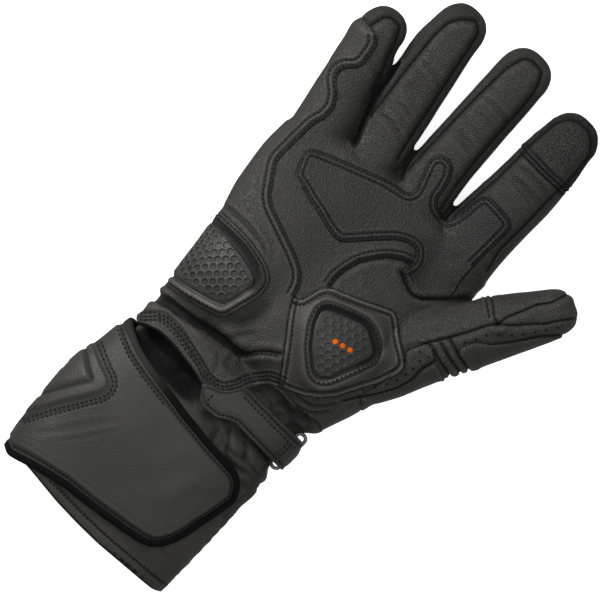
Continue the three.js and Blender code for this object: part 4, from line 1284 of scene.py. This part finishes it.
def sewLine(stitches, line, offsets, closed=False):
    line = smoothLine(line, closed=closed, step=0.8)
    for offset in offsets:
        even = evenLine(besideLine(line, offset), thread["pitch"] / 2)
        middles, before, after = even[1:-1:2], even[0:-2:2], even[2::2]
        count = min(len(middles), len(before), len(after))
        places, ways = dropOn(middles[:count])
        startAt, endAt = (dropOn(middles[:count] * 0.7 + each[:count] * 0.3)[0] for each in (before, after))
        ahead = endAt - startAt
        span = np.sqrt((ahead**2).sum(1))
        good = np.isfinite(ahead).all(1) & np.isfinite(places).all(1)
        good &= (span > 0.2) & (span < 3) & (ways[:, 2] > 0.12)
        ahead = unit(ahead[good])
        ways = unit(ways[good] - (ways[good] * ahead).sum(1)[:, None] * ahead)
        for place, along, way in zip(places[good], ahead, ways):
            addStitch(stitches, place, along, way)


cuffRows = [  # on the strap, the flap and the sleeve: line, distances to its left
    ([(14, -51.4), (30, -51.5), (52.5, -51.6)], (0, -2.4)),
    ([(3, -63.6), (2.3, -66.6), (4, -69.2), (7, -69.5), (11, -68.8), (17, -65.6), (22, -63.8), (35, -64),
      (52.5, -64.2)], (0,)),
    ([(47.8, -63), (48.2, -57), (47.8, -52.5)], (0, 1.9)),
    (flap["topEdge"][1:] + flap["bottomEdge"][::-1][:-2], (-flap["stitchInset"],)),
    (flap["topEdge"][1:6], (-flap["stitchInset"] - 2.0,)),
    (chevron["outline"][1:-1], chevron["rows"]),
    ([(-25, -151.4), (0, -151.6), (20, -150.6), (35, -149.2), (52, -147.4)], (0,)),
]
sewn = Gathered()
for line, offsets, closed in stitchRows:
    sewLine(sewn, line, offsets, closed)
for line, offsets in cuffRows:
    sewLine(sewn, line, offsets)
threadRows = sewn.build("threadRows")
print("stitches", sewn.count // 30)

# the black line where one piece of leather ends on the next: partly the dark joint, partly painted shadow
# cast by the raised panel edge beside it
jointAndShadeRows = [  # line, distance to its left, half width, whether it closes
    (panels["sideReinforcement"]["outline"][9:-1], -0.35, 0.4, False),
    (panels["palmPatch"]["outline"][:19], -0.35, 0.42, False),
    (panels["palmPatch"]["outline"][19:], -0.35, 0.42, False),
    (panels["heelPad"]["outline"], -0.35, 0.4, True),
    (panels["thumbKnuckle"]["outline"][2:-1], -0.2, 0.6, False),
    (panels["indexTip"]["outline"][1:4], -0.3, 0.35, False),
    (sliderPad["outline"][1:-1], -5.0, 0.3, False),
]
jointAndShadeRows += [(line, 0, 0.32 * width / 0.8, False) for line, width, _, _, _ in seams.values()]


def addRibbon(ribbons, line, offset, half, closed):
    line = besideLine(smoothLine(line, closed=closed, step=0.7), offset)
    places, ways = dropOn(line)
    ahead = unit(np.gradient(places, axis=0))
    across = unit(np.cross(ways, ahead))
    good = np.isfinite(places).all(1) & np.isfinite(across).all(1) & (ways[:, 2] > 0.1)
    steps = np.sqrt((np.diff(places, axis=0) ** 2).sum(1))
    rings = [places + across * way * half + ways * up
             for way, up in ((-1, -0.3), (-0.8, 0.12), (0.8, 0.12), (1, -0.3))]
    kept = np.flatnonzero(good[:-1] & good[1:] & (steps < 1.9))
    faces = gridFaces(len(places), 4, wrap=True).reshape(-1, 4, 4)[kept].reshape(-1, 4)
    ribbons.add(np.nan_to_num(np.stack(rings, 1).reshape(-1, 3)), faces.tolist())


jointAndShadeRibbons = Gathered()
for line, offset, half, closed in jointAndShadeRows:
    addRibbon(jointAndShadeRibbons, line, offset, half, closed)
jointAndShadeLines = jointAndShadeRibbons.build("jointAndShadeLines")
editAll(jointAndShadeLines, bpy.ops.mesh.delete_loose)
print("parting lines", len(jointAndShadeRibbons.faces))


# moulded honeycomb pads
def hexCentres(low, high, pitch, turn, origin):
    step = pitch * math.sqrt(3) / 2
    count = int(max(high[0] - low[0], high[1] - low[1]) / step) + 3
    j, i = (each.ravel() for each in np.mgrid[-count:count + 1, -count:count + 1])
    x, y = (i + 0.5 * (j % 2)) * pitch, j * step
    c, s = math.cos(turn), math.sin(turn)
    centres = np.stack([origin[0] + x * c - y * s, origin[1] + x * s + y * c], 1)
    return centres[((centres > low) & (centres < high)).all(1)]


# a cell of the moulding: a flat ridge round a round pit, cut short at the outline
def addCell(pattern, place, centre, sizes, outline, limit):
    pitch, wall, high = sizes["pitch"], sizes["wall"], sizes["high"]
    corner = np.arange(12) * math.pi / 6 + sizes["turn"]
    ways = np.stack([np.cos(corner), np.sin(corner)], 1)
    edge = np.where(np.arange(12) % 2 == 1, pitch / math.sqrt(3), pitch / 2)
    pit = (pitch / 2 - wall * 0.5) * (0.45 + 0.55 * edge / edge.min())
    rings = [(edge, -0.3), (edge, high - 0.02), (edge - 0.05, high), (pit + 0.08, high),
             (pit - 0.02, high - 0.08), (pit - 0.12, 0.1), (pit - 0.25, 0.02), (pit * 0.45, 0.0)]
    flat = np.concatenate([ways * reach[:, None] for reach, _ in rings])
    share = np.ones(len(flat))
    for _ in range(14):
        out = depthInside(centre + flat * share[:, None], outline, 6.0) < limit
        share[out] *= 0.9
    spots = centre + flat * share[:, None]
    points = np.concatenate([place(spots[k * 12:k * 12 + 12], high) for k, (_, high) in enumerate(rings)])
    # the pit walls and floor get painted shade
    pattern.add(points, ringFaces(len(rings), 12, closeEnd=True),
                np.repeat([1, 1, 1, 1, 0.8, 0.0, 0.12, 0.35], 12))


heelInsert = {"pitch": 4.2, "wall": 0.5, "high": 0.45, "thick": 0.9, "turn": 0.262, "middle": (31.0, -1.1),
              "dome": 1.45}
insertLine = smoothLine(padRim["insert"], closed=True, step=0.9)
probe = np.stack(np.meshgrid(np.arange(10, 50, 2.0), np.arange(-26, 20, 2.0)), -1).reshape(-1, 2)
probe = probe[depthInside(probe, insertLine) > 0.5]
probeAt, _ = dropOn(probe)


def bowl(spots):
    x, y = (spots[:, 0] - 30) / 20, (spots[:, 1] + 4) / 20
    return np.stack([x * 0 + 1, x, y, x * x, x * y, y * y, x**3, x * x * y, x * y * y, y**3], 1)


bowlFit = np.linalg.lstsq(bowl(probe), probeAt[:, 2], rcond=None)[0]


def insertPlace(spots, high):
    spots = np.atleast_2d(spots)
    return np.column_stack([spots, bowl(spots) @ bowlFit + heelInsert["thick"] + high])


# a plate inside an outline, its edge rounded down
def polarPlate(name, line, place, profile, rings=(0.0, 0.3, 0.6, 1.0, 2.4, 4, 7, 10, 13)):
    centre = line.mean(0)
    line = line[:-1] if np.allclose(line[0], line[-1]) else line
    reach = np.sqrt(((line - centre) ** 2).sum(1))
    points = []
    for inset in rings:
        share = np.clip(1 - inset / reach, 0.02, 1)[:, None]
        points.append(place(centre + (line - centre) * share, profile(inset)))
    made = makeMesh(name, np.concatenate(points), ringFaces(len(rings), len(line), closeEnd=True))
    # painted shade along the plate's rounded edge, wider on the side towards the fingers
    upward = smoothstep(-0.35, 0.5, (line - centre)[:, 1] / reach)
    ridge = smoothstep(0.3 + 0.4 * upward, 0.9 + 1.2 * upward, np.array(rings)[:, None])
    addValues(made.data, "ridge", ridge.ravel())
    return made


def plateProfile(inset):
    return -1.5 * (1 - smoothstep(0.0, 0.9, inset))


insertBorder = besideLine(smoothLine(padRim["outline"], closed=True, step=0.9), 0.7)
insertPlate = polarPlate("heelInsertPlate", insertBorder, insertPlace, plateProfile)
insertCells = Gathered()
cellTurn = heelInsert["turn"]
cells = hexCentres(np.array([8, -28]), np.array([52, 20]), heelInsert["pitch"], cellTurn,
                   heelInsert["middle"])
cells = cells[depthInside(cells, insertLine[:-1]) > 2.0]
for spot in cells:
    addCell(insertCells, insertPlace, spot, heelInsert, insertLine[:-1], 1.2)
insertRidges = insertCells.build("heelInsertRidges")


def addDome(pattern, place, centre, radius, high):
    rings = [(1.0, 0.02), (0.97, high * 0.6), (0.8, high), (0.4, high * 1.08)]
    points = [place(centre + circle(12) * radius * r, h) for r, h in rings] + [place(centre, high * 1.1)]
    pattern.add(np.concatenate(points),
                ringFaces(4, 12) + [[36 + k, 36 + (k + 1) % 12, 48] for k in range(12)])


accents = Gathered()
fromMiddle = cells - heelInsert["middle"]
near = np.argsort(np.abs(fromMiddle @ [-math.sin(cellTurn), math.cos(cellTurn)]) * 40
                  + np.abs(fromMiddle @ [math.cos(cellTurn), math.sin(cellTurn)]))[:3]
for spot in cells[near]:
    addDome(accents, insertPlace, spot, heelInsert["dome"], 0.22)
accentCells = accents.build("heelInsertAccents")

slider = {"thick": 1.3, "pitch": 4.3, "wall": 0.55, "high": 0.65, "turn": 0.262}


# unrolls the palm's pinky side: run across the section from x = -18, and y along it
class Chart:
    def __init__(self, rows):
        self.rows = np.asarray(rows, float)
        self.angle = np.radians(np.linspace(70, 184, 400))
        self.run, self.at = [], []
        for y in self.rows:
            points = armPoint(palm, y, self.angle, 1.2)
            run = runAlong(points)
            self.run.append(run - np.interp(18, -points[:, 0], run))
            self.at.append(points)
        self.run = np.array(self.run)

    def rowOf(self, y):
        return (y - self.rows[0]) / (self.rows[1] - self.rows[0])

    def turn(self, run, y):
        row = np.clip(self.rowOf(y), 0, len(self.rows) - 1.001)
        i = row.astype(int)
        f = row - i
        out = np.empty(len(run))
        for k in range(len(run)):
            a, b = (np.interp(run[k], self.run[j], self.angle) for j in (i[k], i[k] + 1))
            out[k] = a * (1 - f[k]) + b * f[k]
        return out

    def fromX(self, x, y):
        i = min(max(int(round(self.rowOf(y))), 0), len(self.rows) - 1)
        return float(np.interp(-x, -self.at[i][:, 0], self.run[i]))

    def fromZ(self, z, y):
        i = int(round(self.rowOf(y)))
        below = self.run[i] > 5
        return float(np.interp(-z, -self.at[i][below, 2], self.run[i][below]))


chart = Chart(np.arange(-40, 8.1, 1.0))


def sliderPlace(spots, high):
    spots = np.atleast_2d(spots)
    angle = chart.turn(spots[:, 0], spots[:, 1])
    return armPoint(palm, spots[:, 1], angle, slider["thick"] + high)


sliderEnd = chart.fromZ(20.5, -20)


# the outline on the chart, closed at the pad's end on the glove's side
def unrolled(points, inset):
    line = [(chart.fromX(x, y), y) for x, y in points[::-1]]
    end, first = sliderEnd - inset, line[0][1]
    line = [(end, first - 0.9), (end - 3, first - 0.2), *line, (end - 3, -36.6 + inset),
            (end, -35.8 + inset)]
    line = evenLine(np.vstack([np.array(line), line[:1]]), 0.9)
    for _ in range(2):
        line = softened(line)
    return line


sliderLine = unrolled(sliderPad["plate"], 0)
cellsLine = unrolled(sliderPad["cells"], 1.5)


def sliderProfile(inset):
    return -1.9 * (1 - smoothstep(0.0, 1.2, inset))


# a plate on a curved place: rings near its edge, then a fill of small squares
def gridPlate(name, line, place, profile, step=1.0):
    line = line[:-1]
    depths = [0.0, 0.35, 0.7, 1.1, 1.5, 2.2, 2.6, 3.0]
    ahead = np.roll(line, -1, 0) - np.roll(line, 1, 0)
    ahead /= np.hypot(*ahead.T)[:, None]
    inward = np.stack([-ahead[:, 1], ahead[:, 0]], 1)
    if not insideOutline(line[:1] + inward[:1] * 0.5, line)[0]:
        inward = -inward
    points, ridge = [], []
    for depth in depths:
        points.append(place(line + inward * depth, profile(depth)))
        # painted shade on the plate's edge towards the fingers
        ridge.append(np.where(inward[:, 1] < -0.25, smoothstep(0.8, 1.8, depth), 1.0))
    faces = ringFaces(len(depths), len(line))
    # the middle: a regular grid a little lower, under the last ring
    low, high = line.min(0), line.max(0)
    us, vs = np.arange(low[0], high[0], step), np.arange(low[1], high[1], step)
    grid = np.stack(np.meshgrid(us, vs), -1)
    flat = grid.reshape(-1, 2)
    keep = depthInside(flat, line) > 2.0
    points.append(place(flat, profile(depths[-1]) - 0.03))
    middle = gridFaces(*grid.shape[:2])
    faces += (middle[keep[middle].all(1)] + len(line) * len(depths)).tolist()
    made = makeMesh(name, np.concatenate(points), faces)
    addValues(made.data, "ridge", np.concatenate(ridge + [np.ones(len(flat))]))
    editAll(made, bpy.ops.mesh.delete_loose)
    return made


sliderPlate = gridPlate("heelSliderPlate", sliderLine, sliderPlace, sliderProfile)
sliderCells = Gathered()
centres = hexCentres(np.array([0, -38]), np.array([sliderEnd + 2, 0]), slider["pitch"], slider["turn"],
                     (20, -20))
for spot in centres[depthInside(centres, cellsLine[:-1]) > 0.6]:
    addCell(sliderCells, sliderPlace, spot, slider, cellsLine[:-1], 0.0)
sliderRidges = sliderCells.build("heelSliderRidges")
print("honeycomb pads built")

# perforations of the thumb
dots = {
    "spots": [(73, 43), (75.6, 48), (78, 53), (82.5, 57.5), (87, 62), (90.5, 66.5), (94, 71.5), (97, 76),
              (100.5, 81), (60.5, 24), (63.6, 20.5), (65.4, 25), (64, 15.5), (63.4, 11), (62.4, 6),
              (60.2, 1), (57.2, -4), (54, -9.5)],
    "radius": 0.55, "rings": [(1.25, -0.02), (1, 0.14), (0.55, 0.03)],  # share of the radius, height
}
holes = Gathered()
places, ways = dropOn(dots["spots"])
for place, way in zip(places, ways):
    if not np.isfinite(place).all():
        continue
    across = unit(np.cross(way, [0.3, 1, 0]))
    other = np.cross(way, across)
    rim = circle(10)[:, :1] * across + circle(10)[:, 1:] * other
    rings = [place + rim * dots["radius"] * wide + way * high for wide, high in dots["rings"]]
    holes.add(np.concatenate(rings), ringFaces(3, 10, closeEnd=True))
perforations = holes.build("perforations")

# the wire ring
wire = {"left": 46.6, "right": 51.8, "middle": -57.5, "half": 11.0, "level": 22, "radius": 0.95,
        "corner": 2.2}


def buildRing():
    corner, path = wire["corner"], []
    right, left = wire["right"] - corner, wire["left"] + corner
    low, high = wire["middle"] - wire["half"] + corner, wire["middle"] + wire["half"] - corner
    for cx, cy, start in ((right, low, -90), (right, high, 0), (left, high, 90), (left, low, 180)):
        for step in np.linspace(0, 90, 8):
            a = math.radians(start + step)
            path.append((cx + corner * math.cos(a), cy + corner * math.sin(a), wire["level"]))
    path = evenLine(np.array(path + path[:1]), 0.9)[:-1]
    ahead = unit(np.roll(path, -1, 0) - np.roll(path, 1, 0))
    up = np.tile([0, 0, 1.0], (len(path), 1))
    out = np.cross(ahead, up)
    return sweepBand("strapRing", path, out, up, circle(14) * wire["radius"], closed=True)


strapRing = buildRing()
print("ring built")


# materials
# a value in a material's node tree; sums on it add Math nodes
class Shade:
    def __init__(self, tree, socket=None):
        self.tree, self.socket = tree, socket

    def node(self, kind, settings=None, inputs=None, out=0):
        made = self.tree.nodes.new(kind)
        for key, value in (settings or {}).items():
            if key == "stops":
                ramp = made.color_ramp
                while len(ramp.elements) < len(value):
                    ramp.elements.new(0.5)
                for element, (at, colour) in zip(ramp.elements, value):
                    element.position, element.color = at, (*colour, 1)
            else:
                setattr(made, key, value)
        for key, value in (inputs or {}).items():
            if isinstance(value, Shade):
                self.tree.links.new(value.socket, made.inputs[key])
            else:
                made.inputs[key].default_value = value
        return Shade(self.tree, made.outputs[out]) if len(made.outputs) else made

    def maths(self, operation, first, second):
        return self.node("ShaderNodeMath", {"operation": operation}, {0: first, 1: second})

    def __add__(self, other):
        return self.maths("ADD", self, other)

    def __radd__(self, other):
        return self.maths("ADD", other, self)

    def __sub__(self, other):
        return self.maths("SUBTRACT", self, other)

    def __rsub__(self, other):
        return self.maths("SUBTRACT", other, self)

    def __mul__(self, other):
        return self.maths("MULTIPLY", self, other)

    def __rmul__(self, other):
        return self.maths("MULTIPLY", other, self)

    def __pow__(self, other):
        return self.maths("POWER", self, other)

    def between(self, low, high, start=0.0, end=1.0):
        return self.node("ShaderNodeMapRange", {"interpolation_type": "SMOOTHSTEP"},
                         {"Value": self, "From Min": low, "From Max": high, "To Min": start, "To Max": end})


def newMaterial(name):
    material = bpy.data.materials.new(name)
    material.use_nodes = True
    material.node_tree.nodes.clear()
    return material, Shade(material.node_tree)


def finish(material, shade, colour, roughness, bump, shine=0.5, metal=0.0):
    surface = shade.node("ShaderNodeBsdfPrincipled", None, {
        "Base Color": colour, "Roughness": roughness, "Normal": bump, "Specular IOR Level": shine,
        "Metallic": metal}, "BSDF")
    shade.node("ShaderNodeOutputMaterial", None, {"Surface": surface})
    return material


def mixColour(shade, share, first, second):
    first, second = (each if isinstance(each, Shade) else (*each, 1) for each in (first, second))
    return shade.node("ShaderNodeMix", {"data_type": "RGBA"}, {0: share, 6: first, 7: second}, 2)


def cloudy(shade, place, scale, detail, roughness=0.5):
    return shade.node("ShaderNodeTexNoise", None, {
        "Vector": place, "Scale": scale, "Detail": detail, "Roughness": roughness}, "Fac")


def cellular(shade, place, size):
    return shade.node("ShaderNodeTexVoronoi", {"feature": "F1"}, {"Vector": place, "Scale": 1000 / size},
                      "Distance")


def bumpy(shade, height, strength, distance):
    return shade.node("ShaderNodeBump", None, {"Height": height, "Strength": strength, "Distance": distance})


def stored(shade, name):
    return shade.node("ShaderNodeAttribute", {"attribute_name": name}, out="Fac")


leather = {
    "hide": (0.0160, 0.0154, 0.0146), "wearAndHighlight": (0.082, 0.079, 0.0755), "groove": (0.0015, 0.0015, 0.0015),
    "patch": (0.0120, 0.0116, 0.0111), "back": (0.014, 0.0135, 0.013), "poreSize": 0.85, "grainDepth": 0.9,
    "speckle": 1.0, "roughness": 0.5, "shine": 0.32,
}


def leatherMaterial(name, settings):
    material, shade = newMaterial(name)
    place = shade.node("ShaderNodeTexCoord", out="Object")
    pores = cellular(shade, place, settings["poreSize"])
    soft = cloudy(shade, place, 520, 4, 0.6)
    broad = cloudy(shade, place, 42, 3)
    fine = cloudy(shade, place, 1500, 2)
    stores = ("crown", "seam", "edge", "patch", "sewn", "dark", "smooth", "suede")
    crown, seam, edge, patch, sewnNear, dark, smooth, suede = (stored(shade, each) for each in stores)
    pebble = 1 - pores.between(0.1, 0.75)
    grain = pebble * 0.85 + soft * 0.42 + fine * 0.4
    groove = 1 - seam.between(0.0, 0.9)
    thread = 1 - sewnNear.between(0.3, 1.05)
    line = 1 - edge.between(0.05, 0.8)
    # lighter on convex crowns: partly wear and partly a painted highlight; speckle keeps it to the grain's
    # tops
    wearAndHighlight = crown.between(0.42, 0.95) * 0.62 + broad.between(0.35, 0.8) * 0.28
    wearAndHighlight = wearAndHighlight * (1 - settings["speckle"] * (1 - smooth * 0.8) * (1 - grain.between(0.65, 1.2)))
    hide = mixColour(shade, patch, settings["hide"], settings["patch"])
    colour = mixColour(shade, wearAndHighlight, hide, settings["wearAndHighlight"])
    nap = mixColour(shade, fine.between(0.42, 0.66), (0.007, 0.007, 0.007), (0.048, 0.047, 0.045))
    colour = mixColour(shade, suede * 0.9, colour, nap)
    # the groove colour draws the dark seam lines, panel edges and stitch bands, then the painted shade of
    # dark
    for share in (groove * 0.8, line * 0.6, thread * 0.6, dark):
        colour = mixColour(shade, share, colour, settings["groove"])
    height = grain * settings["grainDepth"] * (1 - smooth * 0.75) - groove * 0.5 - line * 0.2
    roughness = settings["roughness"] + broad * 0.12 - crown * 0.06 + groove * 0.2 + thread * 0.15
    roughness = roughness + dark * 0.3 + suede * 0.3
    return finish(material, shade, colour, roughness, bumpy(shade, height, 0.8, 0.0005), settings["shine"])


palmHide = leatherMaterial("palmHide", leather)
backHide = leatherMaterial("backHide", dict(leather, hide=leather["back"], roughness=0.48))
flapHide = leatherMaterial("flapHide", dict(
    leather, hide=(0.0146, 0.0141, 0.0135), wearAndHighlight=(0.040, 0.039, 0.037), poreSize=0.8, grainDepth=0.32,
    speckle=0.4))
strapHide = leatherMaterial("strapHide", dict(
    leather, hide=(0.0150, 0.0146, 0.0140), wearAndHighlight=(0.048, 0.047, 0.045), poreSize=0.9, grainDepth=0.4,
    speckle=0.4))
# a lighter copy of the hide: painted light for the sleeve, which lies in the flap's shade
sleeveHideWithPaintedLight = leatherMaterial("sleeveHideWithPaintedLight", dict(
    leather, hide=(0.0265, 0.0258, 0.0247), wearAndHighlight=(0.062, 0.060, 0.057), poreSize=1.0, grainDepth=0.5,
    speckle=0.5, shine=0.2))


def clothMaterial(name, colour, light, size, roughness, depth):
    material, shade = newMaterial(name)
    place = shade.node("ShaderNodeTexCoord", out="Object")
    weave = cellular(shade, place, size)
    fuzz = cloudy(shade, place, 900, 4)
    broad = cloudy(shade, place, 55, 3)
    tone = mixColour(shade, fuzz * 0.5 + broad * 0.4, colour, light)
    tone = mixColour(shade, stored(shade, "folded"), tone, (0.022, 0.0215, 0.0205))
    return finish(material, shade, tone, roughness + broad * 0.05,
                  bumpy(shade, weave + fuzz, depth, 0.0003), 0.1)


liningCloth = clothMaterial("liningCloth", (0.004, 0.004, 0.0045), (0.010, 0.010, 0.0105), 0.9, 0.85, 0.6)
bindingTape = clothMaterial("bindingTape", (0.001, 0.001, 0.001), (0.003, 0.003, 0.003), 0.5, 0.85, 0.7)
threadBlack = clothMaterial("threadBlack", (0.003, 0.003, 0.003), (0.012, 0.012, 0.012), 0.35, 0.55, 0.4)
holeBlack = clothMaterial("holeBlack", (0.003, 0.003, 0.003), (0.008, 0.008, 0.008), 0.3, 0.8, 0.2)


def rubberMaterial(name, colour, light, roughness, pit=None, shine=0.28):
    material, shade = newMaterial(name)
    place = shade.node("ShaderNodeTexCoord", out="Object")
    fine = cloudy(shade, place, 2600, 3)
    dust = cloudy(shade, place, 160, 5)
    tone = mixColour(shade, dust.between(0.35, 0.75), colour, light)
    if pit:
        # pit is the colour of the painted shade in the pits and on the plates' shaded edges
        tone = mixColour(shade, stored(shade, "ridge"), pit, tone)
    return finish(material, shade, tone, roughness + dust * 0.12, bumpy(shade, fine, 0.35, 0.0002), shine)


padRubber = rubberMaterial(
    "padRubber", (0.019, 0.0188, 0.0184), (0.030, 0.0295, 0.0287), 0.5, (0.003, 0.003, 0.003))
ridgeRubber = rubberMaterial(
    "ridgeRubber", (0.042, 0.041, 0.040), (0.066, 0.0645, 0.0625), 0.42, (0.0085, 0.0085, 0.0083))
insetRubber = rubberMaterial(
    "insetRubber", (0.032, 0.0313, 0.0303), (0.048, 0.047, 0.0455), 0.45, (0.013, 0.0128, 0.0124))
accentOrange = rubberMaterial("accentOrange", (0.50, 0.082, 0.0), (0.66, 0.120, 0.0), 0.55, None, 0.1)


def steelMaterial(name):
    material, shade = newMaterial(name)
    place = shade.node("ShaderNodeTexCoord", out="Object")
    rubbed = cloudy(shade, place, 380, 5)
    fine = cloudy(shade, place, 2200, 2)
    tone = mixColour(shade, rubbed.between(0.4, 0.7), (0.09, 0.09, 0.091), (0.2, 0.2, 0.2))
    return finish(material, shade, tone, 0.3 + rubbed * 0.2, bumpy(shade, fine, 0.2, 0.0001), metal=0.8)


ringSteel = steelMaterial("ringSteel")


def dress(made, material, nodes=()):
    made.data.materials.clear()
    made.data.materials.append(material)
    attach(made, "root")
    if nodes:
        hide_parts(*nodes)


dress(handPieces["palmLeather"], palmHide,
      ("palm_panel", "side_reinforcement", "palm_patch", "thumb_heel_pad", "slider_surround",
       "thumb_side_panel"))
dress(handPieces["backLeather"], backHide, ("back_panel",))
for piece, node in (("littleFinger", "little_finger"), ("ringFinger", "ring_finger"),
                    ("middleFinger", "middle_finger")):
    dress(handPieces[piece], palmHide, (node,))
dress(handPieces["indexFinger"], palmHide, ("index_finger", "index_tip_patch"))
dress(handPieces["thumbLeather"], palmHide,
      ("thumb", "thumb_knuckle_panel", "thumb_stretch_ribs"))
dress(cuffFlap, flapHide, ("cuff_flap", "chevron_panel"))
dress(flapBinding, bindingTape, ("flap_binding",))
dress(innerSleeve, sleeveHideWithPaintedLight, ("inner_cuff", "cuff_hem"))
dress(cuffMouthEdge, sleeveHideWithPaintedLight)
dress(wristHem, strapHide)
dress(lining, liningCloth)
dress(wristStrap, strapHide, ("wrist_strap",))
dress(strapRing, ringSteel, ("strap_ring",))
dress(insertPlate, padRubber, ("honeycomb_insert",))
dress(insertRidges, insetRubber)
dress(accentCells, accentOrange)
dress(sliderPlate, padRubber, ("heel_slider",))
dress(sliderRidges, ridgeRubber)
dress(threadRows, threadBlack)
dress(jointAndShadeLines, holeBlack)
dress(perforations, holeBlack)
print("materials and rides set")

# stage
studio = {
    "floorSize": 6, "floor": (0.93, 0.93, 0.93), "glow": 0.85, "world": 0.42,
    "lamps": {
        "overhead": {"place": (0.0, 0.1, 1.75), "size": 1.3, "power": 12},
        "key": {"place": (-0.72, 0.12, 0.42), "size": 0.35, "power": 7.0},
        "rim": {"place": (0.55, 1.3, 0.8), "size": 0.6, "power": 3},
    },
}


def buildStage():
    bpy.ops.mesh.primitive_plane_add(size=studio["floorSize"], location=(0, 0, -0.0004))
    floor = bpy.context.object
    floor.name = "floor"
    material, shade = newMaterial("paleFloor")
    pale = (*studio["floor"], 1)
    surface = shade.node("ShaderNodeBsdfPrincipled", None, {
        "Base Color": pale, "Roughness": 0.9, "Emission Color": pale, "Emission Strength": studio["glow"]})
    shade.node("ShaderNodeOutputMaterial", None, {"Surface": surface})
    floor.data.materials.append(material)
    floor.visible_glossy = False
    floor.visible_diffuse = False
    world = bpy.context.scene.world or bpy.data.worlds.new("studio")
    bpy.context.scene.world = world
    world.use_nodes = True
    world.node_tree.nodes["Background"].inputs["Color"].default_value = (1, 1, 1, 1)
    world.node_tree.nodes["Background"].inputs["Strength"].default_value = studio["world"]
    for name, lamp in studio["lamps"].items():
        bpy.ops.object.light_add(type="AREA", location=lamp["place"])
        made = bpy.context.object
        made.name = name
        made.data.size = lamp["size"]
        made.data.energy = lamp["power"]
        made.visible_camera = False
        made.rotation_euler = Vector(lamp["place"]).to_track_quat("Z", "Y").to_euler()


buildStage()
bpy.context.scene.view_settings.view_transform = "Standard"
